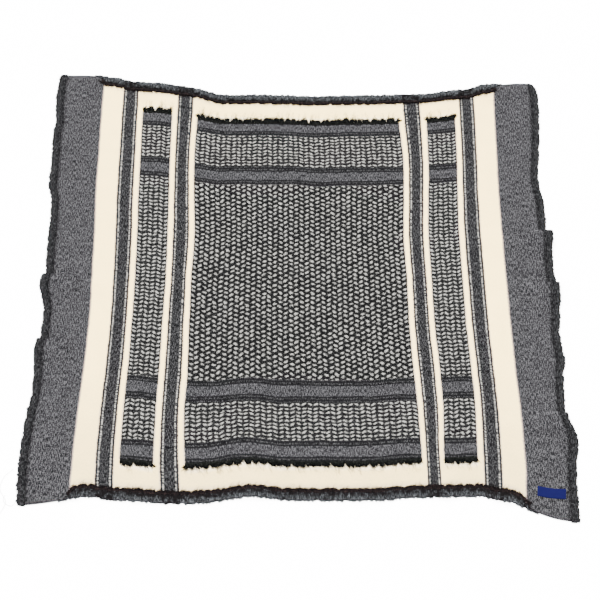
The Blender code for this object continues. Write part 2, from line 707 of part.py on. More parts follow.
def main():
    for old in list(bpy.data.objects):
        bpy.data.objects.remove(old, do_unlink=True)
    root = bpy.data.objects.new("scarf", None)
    bpy.context.scene.collection.objects.link(root)

    cream = material("cream_weave", (0.84, 0.78, 0.67), 0.9)
    charcoal = material("charcoal_selvedge", (0.035, 0.038, 0.040), 0.95)
    melange = material("grey_melange_hem", (0.075, 0.080, 0.085), 0.95)
    black = material("black_floats", (0.012, 0.012, 0.012), 0.95)
    navy = material("navy_label", (0.012, 0.025, 0.140), 0.7)

    columns, rows = column_lines(), row_lines()
    top = PanelTop(columns, rows)
    pieces = [make_panel(columns, rows, cream, root)]
    pieces.append(make_selvedge("selvedge_left", -1, rows, charcoal, root))
    pieces.append(make_selvedge("selvedge_right", 1, rows, charcoal, root))
    for name, end in (("top", 1), ("bottom", -1)):
        pieces.append(make_hem(f"hem_{name}", end, columns, top, melange, root))
        root_line = end * (HALF_LENGTH - HEM_WIDTH - SEAM_GAP - STRIP_WIDTH)
        edges = lock_edges(columns, -BORDER_LINE, BORDER_LINE, HEM_LOCK_SPACE)
        pieces.append(make_float_row(
            f"hem_floats_{name}", edges, root_line, -end, HEM_LOCK_LENGTH, top, black, root, 20 + end,
        ))
    rows_of_floats = (("top", TOP_FLOAT_LINE, 1), ("bottom", BOTTOM_FLOAT_LINE, -1))
    blocks = (
        ("left", -COLUMN[1], -COLUMN[0]),
        ("centre", -CENTRE_LINE, CENTRE_LINE),
        ("right", COLUMN[0], COLUMN[1]),
    )
    for number, (block, low, high) in enumerate(blocks):
        for name, line, way in rows_of_floats:
            edges = lock_edges(columns, low, high, LOCK_SPACE)
            pieces.append(make_float_row(
                f"floats_{block}_{name}", edges, line, way, TUFT_LENGTH, top, black, root,
                30 + 2 * number + way,
            ))
    pieces.append(make_label(top, navy, root))
    stand_at_origin(pieces, root)


main()
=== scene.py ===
"""A square woven scarf laid out flat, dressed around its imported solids.

Every piece is worked out in the cloth's own woven coordinates, u across it and v along it, in
metres from its middle. Lay.surface() lays them on the table, with the drift of the edges, the
folded tucks at the sides, the ripples of the hems and the soft creases. The materials read the
same coordinates from the attribute "woven", so bands, stripes and ticks follow the threads.
"""

import logging
import math
from dataclasses import dataclass, field
from enum import Enum
from typing import NamedTuple, Sequence, Union

import bpy
import numpy as np
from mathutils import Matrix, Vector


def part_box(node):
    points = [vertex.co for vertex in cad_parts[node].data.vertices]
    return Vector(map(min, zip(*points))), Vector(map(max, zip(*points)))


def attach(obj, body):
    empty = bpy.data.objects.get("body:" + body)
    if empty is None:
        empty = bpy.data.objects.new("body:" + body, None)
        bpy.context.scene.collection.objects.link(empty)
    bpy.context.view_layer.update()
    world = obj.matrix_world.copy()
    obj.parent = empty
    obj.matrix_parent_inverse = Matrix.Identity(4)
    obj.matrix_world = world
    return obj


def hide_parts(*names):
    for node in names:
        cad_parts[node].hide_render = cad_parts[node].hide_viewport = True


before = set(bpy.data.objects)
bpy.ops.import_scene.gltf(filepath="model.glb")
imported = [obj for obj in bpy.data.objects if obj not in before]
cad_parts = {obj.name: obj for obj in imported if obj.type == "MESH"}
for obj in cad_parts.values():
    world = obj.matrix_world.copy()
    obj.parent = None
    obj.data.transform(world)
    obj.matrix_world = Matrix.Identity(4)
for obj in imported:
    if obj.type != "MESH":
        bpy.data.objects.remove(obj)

LOG = logging.getLogger("scarf")
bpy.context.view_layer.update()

# The square as woven
HALF_WIDTH = 0.574
HALF_LENGTH = 0.488
WALL = 0.0016
SEAM_LINE = 0.551
CENTRE_LINE = 0.2445
COLUMN = (0.3025, 0.372)
BORDER_LINE = 0.470
TOP_FLOAT_LINE = 0.410
BOTTOM_FLOAT_LINE = -0.409
HEM_WIDTH = 0.0175
PANEL_END = 0.4855
SEAM_COVER = 0.0070
END_ZONE = (0.430, 0.455)
CORNER_PULL = 0.22
PATTERN_MIDDLE = 0.0055

# The folds of the tucks, as in the solids
TUCK_RADIUS = 0.0016
TUCK_SPAN = 0.028
TUCK_CLIMB = (0.058, 0.016)
TUCK_CLOSED_FROM = 0.38
TUCK_FULL_FROM = 0.68
TUCK_OPENING = 1.5
TUCK_LEAST = 0.004
SLOPE_STEP = 0.00002
FOLDED_FROM = 0.400
FOLDED_RAMP = 0.065

# A full turn, to the digits that the painted threads use
TURN = 6.2832


class Side(Enum):
    """The two long edges of the cloth."""

    LEFT = -1
    RIGHT = 1


class End(Enum):
    """The two ends of the cloth."""

    TOP = 1
    BOTTOM = -1


class EndLine(NamedTuple):
    """How far the two ends of the cloth lie from straight, at one line across it."""

    u: float
    top: float
    bottom: float


class WarpDrift(NamedTuple):
    """How far six lines along the cloth lie from straight, at one section."""

    v: float
    left_border: float
    left_column: float
    centre_left: float
    centre_right: float
    right_column: float
    right_border: float


class EdgeDrift(NamedTuple):
    """How far a side edge lies from straight, at one section."""

    v: float
    drift: float


class Corner(NamedTuple):
    """A rounded corner: its side, its end and how far the rounding reaches."""

    side: int
    end: int
    reach: float


class Tuck(NamedTuple):
    """A flat Z-fold at a side edge, the lower part over the upper one."""

    side: int
    v: float
    overlap: float
    reach: float


class Ripple(NamedTuple):
    """A low wave across a hem, at one end of the cloth."""

    end: int
    u: float
    half_width: float
    height: float


class Crease(NamedTuple):
    """A soft ridge, or a trough where its height is negative, along a straight line."""

    u0: float
    v0: float
    u1: float
    v1: float
    half_width: float
    height: float


END_LINES = tuple(EndLine(*row) for row in (
    (-0.574, 0.057, -0.011), (-0.540, 0.056, -0.008), (-0.490, 0.053, -0.001),
    (-0.440, 0.047, 0.009), (-0.390, 0.033, 0.003), (-0.340, 0.032, 0.000), (-0.290, 0.023, -0.004),
    (-0.240, 0.012, -0.005), (-0.180, -0.002, 0.000), (-0.110, -0.003, 0.009),
    (-0.040, -0.003, 0.002), (0.050, -0.007, 0.001), (0.140, -0.004, 0.001), (0.220, -0.003, 0.007),
    (0.300, 0.001, 0.008), (0.370, 0.009, 0.010), (0.410, 0.015, 0.002), (0.440, 0.024, -0.003),
    (0.480, 0.028, -0.021), (0.530, 0.033, -0.038), (0.574, 0.033, -0.045),
))

WARP_DRIFTS = tuple(WarpDrift(*row) for row in (
    (-0.488, 0.003, 0.011, 0.020, 0.014, 0.003, -0.002),
    (-0.440, 0.001, 0.005, 0.0135, 0.015, 0.003, 0.001),
    (-0.400, 0.001, 0.002, 0.010, 0.0145, 0.0025, 0.004),
    (-0.300, 0.004, 0.0015, 0.004, 0.011, 0.0065, 0.0035),
    (-0.200, 0.009, 0.004, 0.007, 0.005, 0.0035, 0.000),
    (-0.100, 0.011, 0.005, 0.006, 0.0005, -0.002, -0.002),
    (0.000, 0.008, 0.007, 0.006, 0.000, -0.003, -0.003),
    (0.100, 0.005, 0.0055, 0.009, -0.003, -0.0045, -0.0035),
    (0.200, 0.000, 0.003, 0.004, 0.001, 0.000, -0.003),
    (0.300, -0.001, 0.001, 0.000, 0.004, 0.005, 0.000),
    (0.400, -0.003, 0.000, 0.003, -0.002, 0.006, 0.003),
    (0.488, -0.003, -0.001, 0.005, -0.006, 0.003, 0.006),
))

LEFT_EDGE = tuple(EdgeDrift(*row) for row in (
    (-0.488, -0.001), (-0.400, -0.006), (-0.310, -0.001), (-0.260, 0.006), (-0.215, 0.005),
    (-0.188, 0.002), (-0.175, 0.003), (-0.165, 0.005), (-0.1575, 0.0075), (-0.1525, 0.011),
    (-0.090, 0.012), (-0.050, 0.003), (-0.036, -0.001), (-0.025, 0.001), (-0.017, 0.005),
    (-0.011, 0.010), (0.030, 0.005), (0.110, 0.005), (0.170, 0.002), (0.205, -0.007),
    (0.260, -0.007), (0.340, -0.010), (0.352, -0.006), (0.420, -0.012), (0.488, -0.008),
))

RIGHT_EDGE = tuple(EdgeDrift(*row) for row in (
    (-0.488, -0.0005), (-0.380, 0.0045), (-0.330, 0.014), (-0.321, 0.0125), (-0.312, 0.009),
    (-0.304, 0.005), (-0.298, 0.0005), (-0.294, -0.002), (-0.286, -0.004), (-0.278, -0.0065),
    (-0.200, -0.0015), (-0.165, 0.0045), (-0.120, -0.0005), (-0.060, 0.0055), (-0.006, 0.0095),
    (-0.002, 0.006), (0.010, 0.0035), (0.030, 0.0015), (0.070, 0.0025), (0.106, 0.0065),
    (0.114, -0.0065), (0.170, -0.0045), (0.240, -0.0125), (0.300, -0.0045), (0.430, 0.0075),
    (0.488, 0.0055),
))

CORNERS = (
    Corner(-1, 1, 0.010),
    Corner(1, 1, 0.030),
    Corner(-1, -1, 0.014),
    Corner(1, -1, 0.012),
)

TUCKS = (
    Tuck(1, 0.110, 0.014, 0.095),
    Tuck(1, -0.004, 0.005, 0.080),
    Tuck(-1, -0.014, 0.010, 0.090),
    Tuck(-1, -0.155, 0.007, 0.080),
    Tuck(1, -0.282, 0.012, 0.095),
)

RIPPLES = tuple(Ripple(*row) for row in (
    (1, -0.500, 0.045, 0.0025), (1, -0.385, 0.040, 0.0040), (1, -0.255, 0.050, 0.0035),
    (1, -0.110, 0.060, 0.0020), (1, 0.075, 0.055, 0.0025), (1, 0.235, 0.060, 0.0015),
    (1, 0.360, 0.045, 0.0030), (1, 0.455, 0.040, 0.0040), (-1, -0.470, 0.050, 0.0020),
    (-1, -0.330, 0.060, 0.0015), (-1, -0.110, 0.050, 0.0035), (-1, 0.110, 0.060, 0.0015),
    (-1, 0.300, 0.055, 0.0030), (-1, 0.425, 0.040, 0.0035),
))

# The first eight are in the solids too, and the others are too fine for them
CREASES = tuple(Crease(*row) for row in (
    (-0.012, 0.360, -0.012, -0.330, 0.030, 0.0016), (0.480, 0.092, 0.350, 0.077, 0.030, 0.0018),
    (-0.490, -0.035, -0.390, -0.045, 0.030, 0.0016), (0.500, -0.314, 0.430, -0.334, 0.030, 0.0016),
    (-0.520, 0.330, -0.440, 0.300, 0.035, 0.0015), (0.525, 0.330, 0.500, 0.220, 0.035, 0.0018),
    (-0.150, 0.300, -0.130, 0.120, 0.045, 0.0010), (0.180, -0.080, 0.200, -0.240, 0.045, 0.0010),
    (-0.012, 0.400, -0.010, -0.380, 0.010, 0.0012), (-0.205, 0.405, -0.170, 0.300, 0.016, 0.0009),
    (-0.060, 0.425, -0.075, 0.330, 0.018, 0.0011), (0.115, 0.420, 0.105, 0.315, 0.016, 0.0009),
    (0.215, 0.405, 0.185, 0.240, 0.020, 0.0009), (-0.030, -0.420, 0.020, -0.345, 0.018, 0.0013),
    (0.090, -0.410, 0.080, -0.310, 0.018, 0.0009), (0.235, -0.420, 0.225, -0.290, 0.020, 0.0010),
    (-0.190, -0.410, -0.150, -0.300, 0.020, 0.0009), (-0.440, 0.210, -0.380, 0.020, 0.022, 0.0010),
    (-0.450, -0.120, -0.425, -0.340, 0.020, 0.0009), (0.440, 0.300, 0.452, 0.150, 0.020, 0.0009),
    (0.445, -0.060, 0.425, -0.230, 0.022, 0.0010), (-0.540, 0.250, -0.500, 0.120, 0.018, 0.0010),
    (-0.530, -0.240, -0.490, -0.380, 0.020, 0.0011), (0.535, -0.050, 0.500, -0.180, 0.018, 0.0010),
    (0.540, -0.360, 0.470, -0.430, 0.020, 0.0014), (0.310, 0.060, 0.260, -0.060, 0.024, 0.0008),
    (-0.280, 0.100, -0.330, -0.060, 0.022, 0.0008),
))


def ease(x: np.ndarray) -> np.ndarray:
    """Smooth step from 0 to 1: 3x squared less 2x cubed, with x held between 0 and 1."""
    x = np.clip(x, 0.0, 1.0)
    return x * x * (3.0 - 2.0 * x)


def through(x: np.ndarray, rows: Sequence[NamedTuple], column: str) -> np.ndarray:
    """A monotone cubic through one column of a table: harmonic mean slopes at its rows.

    Args:
        x: Where the curve is read.
        rows: The table, sorted by its first column.
        column: The name of the column that holds the values.

    Returns:
        The curve's values at x.
    """
    marks = np.array([row[0] for row in rows])
    values = np.array([getattr(row, column) for row in rows])
    step = np.diff(marks)
    slope = np.diff(values) / step
    same_way = slope[:-1] * slope[1:] > 0
    both = np.where(same_way, slope[:-1] + slope[1:], 1.0)
    inner = np.where(same_way, 2 * slope[:-1] * slope[1:] / both, 0)
    tangent = np.concatenate(([slope[0]], inner, [slope[-1]]))
    x = np.clip(x, marks[0], marks[-1])
    k = np.clip(np.searchsorted(marks, x, side="right") - 1, 0, len(step) - 1)
    t = (x - marks[k]) / step[k]
    bend = step[k] * (tangent[k] * t * (1 - t) ** 2 - tangent[k + 1] * t * t * (1 - t))
    return values[k] + (values[k + 1] - values[k]) * ease(t) + bend


@dataclass(frozen=True)
class Rumple:
    """A seeded unevenness in -1 to 1: a mean of sine waves with random ways, paces and phases."""

    seed: int
    low: float
    high: float
    waves: int = 12

    def at(self, x: np.ndarray, y: Union[float, np.ndarray] = 0.0) -> np.ndarray:
        """The unevenness at (x, y), in metres, for wavelengths from low to high."""
        rng = np.random.default_rng(self.seed)
        pace = 2 * math.pi / rng.uniform(self.low, self.high, self.waves)
        way = rng.uniform(0, 2 * math.pi, self.waves)
        phase = rng.uniform(0, 2 * math.pi, self.waves)
        x, y = np.broadcast_arrays(np.asarray(x, float), np.asarray(y, float))
        across = x[..., None] * np.cos(way) + y[..., None] * np.sin(way)
        return np.sin(across * pace + phase).sum(axis=-1) / math.sqrt(self.waves * 2.0)


@dataclass
class Lay:
    """How the scarf lies: from woven coordinates to places on the table.

    Attributes:
        shift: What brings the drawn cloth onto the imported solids.
        rows: How many rows each line along the panel has.
        turn_steps: Steps round each turn of a tuck.
    """

    shift: np.ndarray = field(default_factory=lambda: np.zeros(3))
    rows: int = 214
    turn_steps: int = 8

    def settle(self) -> None:
        """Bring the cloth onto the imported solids, by the corners of the box round the selvedges."""
        u = np.linspace(SEAM_LINE, HALF_WIDTH, 24)[:, None]
        v = np.linspace(-HALF_LENGTH, HALF_LENGTH, 2001)[None, :]
        left, right = self.surface(-u, v), self.surface(u, v)
        left_low, left_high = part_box("selvedge_left")
        right_low, right_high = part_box("selvedge_right")
        drawn = (left[..., 0].min() + right[..., 0].max(), left[..., 1].max() + right[..., 1].min())
        packed = (left_low[0] + right_high[0], left_high[1] + right_low[1])
        self.shift[:2] = (np.array(packed) - np.array(drawn)) / 2
        LOG.info("laid on the solids by %s", self.shift)

    def rounded(self, u: np.ndarray, v: np.ndarray) -> tuple[np.ndarray, np.ndarray]:
        """The woven coordinates, drawn in by a share of each corner's reach."""
        new_u, new_v = u.copy(), v.copy()
        for corner in CORNERS:
            c = np.clip((corner.side * u - HALF_WIDTH) / corner.reach + 1, 0, 1)
            d = np.clip((corner.end * v - HALF_LENGTH) / corner.reach + 1, 0, 1)
            new_u -= corner.side * corner.reach * CORNER_PULL * c * d * d
            new_v -= corner.end * corner.reach * CORNER_PULL * d * c * c
        return new_u, new_v

    def drift(self, u: np.ndarray, v: np.ndarray) -> np.ndarray:
        """How far a point lies to the right of its straight place, between eight lines."""
        lines = np.array((-HALF_WIDTH, -BORDER_LINE, -COLUMN[0], -CENTRE_LINE))
        lines = np.concatenate((lines, -lines[::-1]))
        drifts = [through(v, LEFT_EDGE, "drift")]
        drifts += [through(v, WARP_DRIFTS, name) for name in WarpDrift._fields[1:]]
        drifts += [through(v, RIGHT_EDGE, "drift")]
        stacked = np.stack(drifts)
        k = np.clip(np.searchsorted(lines, u, side="right") - 1, 0, len(lines) - 2)
        share = np.clip((u - lines[k]) / (lines[k + 1] - lines[k]), 0, 1)
        low = np.take_along_axis(stacked, k[None], 0)[0]
        high = np.take_along_axis(stacked, k[None] + 1, 0)[0]
        return low + (high - low) * share

    @staticmethod
    def end_rise(u: np.ndarray, v: np.ndarray) -> np.ndarray:
        """How far a point lies above its straight place, shared out between the two ends."""
        share = (v + HALF_LENGTH) / (2 * HALF_LENGTH)
        top, bottom = through(u, END_LINES, "top"), through(u, END_LINES, "bottom")
        return share * top + (1 - share) * bottom

    @staticmethod
    def tuck_form(tuck: Tuck, u: np.ndarray) -> tuple[np.ndarray, ...]:
        """A tuck's middle layer, its turns' angle and radius and the cloth it takes."""
        near = np.clip(1 - (HALF_WIDTH - tuck.side * u) / tuck.reach, 0, 1)
        closed = (near - TUCK_CLOSED_FROM) / (TUCK_FULL_FROM - TUCK_CLOSED_FROM)
        layer = tuck.overlap * ease(closed)
        share = ease(near / TUCK_CLOSED_FROM)
        bend = math.pi * share
        radius = TUCK_RADIUS * (1 + TUCK_OPENING * (1 - share) ** 2)
        taken = layer * (1 - np.cos(bend)) + 2 * radius * (bend - np.sin(bend))
        return layer, bend, radius, taken

    def tuck_fold(
        self, tuck: Tuck, u: np.ndarray, v: np.ndarray,
    ) -> tuple[np.ndarray, np.ndarray]:
        """How far a tuck carries a point along the cloth and up: a Z of two round turns.

        Args:
            tuck: The tuck.
            u: Places across the cloth.
            v: Places along it.

        Returns:
            The way along the cloth and the way up, in metres.
        """
        layer, bend, radius, taken = self.tuck_form(tuck, u)
        away = np.abs(v - tuck.v)
        arc = away + taken / 2 * np.minimum(away / TUCK_SPAN, 1)
        straight = np.minimum(arc, layer / 2)
        turned = np.minimum(np.maximum(arc - layer / 2, 0) / radius, bend)
        beyond = np.maximum(arc - layer / 2 - radius * bend, 0)
        along = straight * np.cos(bend) + radius * (np.sin(bend) - np.sin(bend - turned)) + beyond
        down = straight * np.sin(bend) + radius * (np.cos(bend - turned) - np.cos(bend))
        way = np.sign(v - tuck.v)
        rise = layer * np.sin(bend) + 2 * radius * (1 - np.cos(bend))
        climb = ease((way * along + TUCK_CLIMB[0]) / (TUCK_CLIMB[0] - TUCK_CLIMB[1]))
        return way * (along - away), rise / 2 - way * down - rise * (1 - climb)

    def surface(self, u: np.ndarray, v: np.ndarray) -> np.ndarray:
        """The middle of the wall: woven place, plus drift, rise, tucks, ripples and creases.

        Args:
            u: Places across the cloth.
            v: Places along it.

        Returns:
            Points, one for each pair, as (..., 3).
        """
        u, v = np.broadcast_arrays(np.asarray(u, float), np.asarray(v, float))
        near_u, near_v = self.rounded(u, v)
        x = near_u + self.drift(near_u, near_v)
        y = near_v + self.end_rise(near_u, near_v)
        z = np.full(x.shape, WALL / 2)
        for tuck in TUCKS:
            forward, up = self.tuck_fold(tuck, u, v)
            y, z = y + forward, z + up
        for ripple in RIPPLES:
            across = np.clip(1 - ((u - ripple.u) / ripple.half_width) ** 2, 0, 1) ** 2
            into_end = (ripple.end * v - END_ZONE[0]) / (END_ZONE[1] - END_ZONE[0])
            z = z + ripple.height * across * ease(into_end)
        for crease in CREASES:
            du, dv = crease.u1 - crease.u0, crease.v1 - crease.v0
            along = np.clip(((u - crease.u0) * du + (v - crease.v0) * dv) / (du * du + dv * dv), 0, 1)
            far = np.hypot(u - crease.u0 - along * du, v - crease.v0 - along * dv)
            z = z + crease.height * np.clip(1 - (far / crease.half_width) ** 2, 0, 1) ** 2
        return np.stack((x, y, z), axis=-1) + self.shift

    def normal(self, u: np.ndarray, v: np.ndarray) -> np.ndarray:
        """The upward normal at (u, v), across two short steps on the surface."""
        u, v = np.broadcast_arrays(np.asarray(u, float), np.asarray(v, float))
        along_u = self.surface(u + SLOPE_STEP, v) - self.surface(u - SLOPE_STEP, v)
        along_v = self.surface(u, v + SLOPE_STEP) - self.surface(u, v - SLOPE_STEP)
        out = np.cross(along_u, along_v)
        return out / np.linalg.norm(out, axis=-1, keepdims=True)

    def over(self, u: np.ndarray, v: np.ndarray, height: np.ndarray) -> np.ndarray:
        """Points at a height over the cloth's upper side; a negative height goes below it."""
        places = (np.asarray(given, float) for given in (u, v, height))
        u, v, height = np.broadcast_arrays(*places)
        return self.surface(u, v) + self.normal(u, v) * (WALL / 2 + height)[..., None]

    def tuck_rows(self, tuck: Tuck, u: float) -> np.ndarray:
        """The close rows of a tuck on one line along the cloth: its climb, turns and layers."""
        layer, bend, radius, taken = self.tuck_form(tuck, u)
        turn = max(radius * bend, TUCK_LEAST)
        half = max(layer, TUCK_LEAST) / 2
        arc = half + turn * np.linspace(0, 1, self.turn_steps + 1)
        close = np.concatenate((-arc[::-1], [-half / 2, 0, half / 2], arc))
        close = close / (1 + taken / (2 * TUCK_SPAN))
        climb = -np.linspace(TUCK_CLIMB[0], TUCK_SPAN, 6)
        before = np.linspace(-TUCK_SPAN, close[0], 4)[1:-1]
        after = np.linspace(close[-1], TUCK_SPAN, 4)[1:]
        return tuck.v + np.concatenate((climb, before, close, after))

    def folded_rows(self, side: int, u: float) -> np.ndarray:
        """The rows of a line near one side: close at its tucks, even between them.

        Args:
            side: -1 for the left side, 1 for the right one.
            u: The line's place across the cloth.

        Returns:
            Places along the cloth, from end to end.
        """
        tucks = sorted((tuck for tuck in TUCKS if tuck.side == side), key=lambda tuck: tuck.v)
        close = [self.tuck_rows(tuck, u) for tuck in tucks]
        lows = [-PANEL_END] + [rows[-1] for rows in close]
        highs = [rows[0] for rows in close] + [PANEL_END]
        left = self.rows - 2 - sum(len(rows) for rows in close)
        gaps = np.array(highs) - np.array(lows)
        counts = np.floor(left * gaps / gaps.sum()).astype(int)
        counts[np.argmax(gaps)] += left - counts.sum()
        rows = [np.array([-PANEL_END])]
        for k, (low, high) in enumerate(zip(lows, highs)):
            rows.append(np.linspace(low, high, counts[k] + 2)[1:-1])
            rows.append(close[k] if k < len(close) else np.array([PANEL_END]))
        return np.concatenate(rows)

    def rows_at(self, u: float) -> np.ndarray:
        """The rows of one line along the panel: even in the middle, folded near the sides."""
        even = np.linspace(-PANEL_END, PANEL_END, self.rows)
        share = float(ease((abs(u) - FOLDED_FROM) / FOLDED_RAMP))
        if share == 0.0:
            return even
        return (1 - share) * even + share * self.folded_rows(1 if u > 0 else -1, u)


class Net(NamedTuple):
    """A closed mesh: its points, its faces of four corners and its faces of three."""

    points: np.ndarray
    quads: np.ndarray
    triangles: np.ndarray = np.zeros((0, 3), int)


class Weft:
    """Ways to make closed meshes from arrays of points."""

    @staticmethod
    def quads(across: int, along: int, start: int = 0, ring: bool = False) -> np.ndarray:
        """Corner indices of a grid's faces, point (i, j) at start + i * along + j.

        Args:
            across: Points in the first direction.
            along: Points in the second direction.
            start: Index of the first point.
            ring: True if the second direction closes on itself.

        Returns:
            An (n, 4) array.
        """
        i = np.arange(across - 1)[:, None]
        j = np.arange(along if ring else along - 1)[None, :]
        after = (j + 1) % along
        corners = (i * along + j, (i + 1) * along + j, (i + 1) * along + after, i * along + after)
        return start + np.stack(np.broadcast_arrays(*corners), axis=-1).reshape(-1, 4)

    @staticmethod
    def shell(top: np.ndarray, bottom: np.ndarray) -> Net:
        """A closed sheet from its upper and lower grids: both sides and a rim of quads."""
        across, along = top.shape[:2]
        count = across * along
        index = np.arange(count).reshape(across, along)
        rim = np.concatenate((index[:-1, 0], index[-1, :-1], index[:0:-1, -1], index[0, :0:-1]))
        after = np.roll(rim, -1)
        upper = Weft.quads(across, along)
        wall = np.stack((after, rim, rim + count, after + count), axis=-1)
        points = np.concatenate((top.reshape(-1, 3), bottom.reshape(-1, 3)))
        return Net(points, np.concatenate((upper, upper[:, ::-1] + count, wall)))

    @staticmethod
    def tube(rings: np.ndarray) -> Net:
        """A closed profile carried along stations, with a pole in the middle of each end."""
        count, around = rings.shape[:2]
        points = np.concatenate((rings.reshape(-1, 3), rings[0].mean(0)[None], rings[-1].mean(0)[None]))
        k = np.arange(around)
        after = (k + 1) % around
        last = (count - 1) * around
        near = np.stack((np.full(around, count * around), after, k), axis=-1)
        far = np.stack((np.full(around, count * around + 1), last + k, last + after), axis=-1)
        quads = Weft.quads(count, around, ring=True)[:, ::-1]
        return Net(points, quads, np.concatenate((near, far)))

    @staticmethod
    def strands(paths: np.ndarray, radii: np.ndarray, sides: int = 3) -> Net:
        """Tapered strands with few sides: a small ring round each point of each path.

        Args:
            paths: Points as (strand, step, 3).
            radii: Radii as (strand, step).
            sides: Corners of each ring.

        Returns:
            One mesh of them all.
        """
        many, steps = paths.shape[:2]
        tangent = np.gradient(paths, axis=1)
        tangent /= np.linalg.norm(tangent, axis=-1, keepdims=True) + 1e-12
        side = np.cross(tangent, np.array((0.13, 0.21, 0.97)))
        side /= np.linalg.norm(side, axis=-1, keepdims=True) + 1e-12
        lift = np.cross(side, tangent)
        angle = np.arange(sides) * (2 * math.pi / sides) + 0.5
        spoke = np.cos(angle)[:, None] * side[:, :, None]
        spoke = spoke + np.sin(angle)[:, None] * lift[:, :, None]
        points = paths[:, :, None] + spoke * radii[:, :, None, None]
        one = Weft.quads(steps, sides, ring=True)
        starts = np.arange(many) * steps * sides
        quads = (starts[:, None, None] + one[None]).reshape(-1, 4)
        fan = np.stack((np.zeros(sides - 2, int), np.arange(1, sides - 1), np.arange(2, sides)), axis=-1)
        caps = np.concatenate((fan, fan[:, ::-1] + (steps - 1) * sides))
        triangles = (starts[:, None, None] + caps[None]).reshape(-1, 3)
        return Net(points.reshape(-1, 3), quads, triangles)


def outward(net: Net) -> Net:
    """Turn all faces round if the volume that they enclose is negative."""
    points, quads, triangles = net
    halves = np.concatenate((quads[:, (0, 1, 2)], quads[:, (0, 2, 3)], triangles))
    a, b, c = (points[halves[:, k]] for k in range(3))
    if np.einsum("ij,ij->i", a, np.cross(b, c)).sum() < 0:
        return Net(points, quads[:, ::-1], triangles[:, ::-1])
    return net


def piece(
    name: str, net: Net, finish: bpy.types.Material, woven: np.ndarray, slot: str, *nodes: str,
) -> bpy.types.Object:
    """Make one named piece that rides with the scarf.

    Args:
        name: The piece's name.
        net: Its mesh, in metres.
        finish: Its material.
        woven: Each vertex's woven coordinates and tone, as (..., 3).
        slot: Not used.
        nodes: The solids that it stands for.

    Returns:
        The new object.
    """
    points, quads, triangles = outward(net)
    mesh = bpy.data.meshes.new(name)
    corners = np.concatenate((quads.ravel(), triangles.ravel()))
    fours, threes = np.arange(len(quads)) * 4, np.arange(len(triangles)) * 3
    starts = np.concatenate((fours, len(quads) * 4 + threes))
    mesh.vertices.add(len(points))
    mesh.vertices.foreach_set("co", points.astype(np.float32).ravel())
    mesh.loops.add(len(corners))
    mesh.loops.foreach_set("vertex_index", corners.astype(np.int32))
    mesh.polygons.add(len(starts))
    mesh.polygons.foreach_set("loop_start", starts.astype(np.int32))
    mesh.update(calc_edges=True)
    mesh.validate()
    mesh.shade_smooth()
    read = mesh.attributes.new("woven", "FLOAT_VECTOR", "POINT")
    read.data.foreach_set("vector", woven.astype(np.float32).ravel())
    mesh.materials.append(finish)
    made = bpy.data.objects.new(name, mesh)
    bpy.context.scene.collection.objects.link(made)
    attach(made, "root")
    if nodes:
        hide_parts(*nodes)
    LOG.info("%s: %d points, %d faces", name, len(points), len(starts))
    return made


def woven_at(
    u: np.ndarray, v: np.ndarray, tone: Union[float, np.ndarray],
) -> np.ndarray:
    """The woven coordinates and the tone of points, as (..., 3)."""
    return np.stack(np.broadcast_arrays(u, v, tone), axis=-1)


def sweep(
    name: str, rings: np.ndarray, finish: bpy.types.Material, woven: np.ndarray, slot: str,
    node: str,
) -> bpy.types.Object:
    """Make a piece from a profile carried along stations, with a pole in each end.

    Args:
        name: The piece's name.
        rings: The profile's points at each station, as (station, corner, 3).
        finish: The piece's material.
        woven: Their woven coordinates and tone, shaped like the rings.
        slot: Passed on to piece(), which does not use it.
        node: The solid that it stands for.

    Returns:
        The new object.
    """
    woven = np.concatenate((woven.reshape(-1, 3), woven[[0, -1]].mean(axis=1)))
    return piece(name, Weft.tube(rings), finish, woven, slot, node)


Number = Union[float, "Term"]
Colour = tuple[float, float, float]
Paint = Union[Colour, bpy.types.NodeSocket]
Feed = Union[Number, Paint]


def feed(tree: bpy.types.NodeTree, socket: bpy.types.NodeSocket, given: Feed) -> None:
    """Link a term or a socket to a node's input, or set the input to a number or a colour."""
    value = given.socket if isinstance(given, Term) else given
    if isinstance(value, bpy.types.NodeSocket):
        tree.links.new(value, socket)
    else:
        socket.default_value = (*value, 1.0) if isinstance(value, tuple) else value


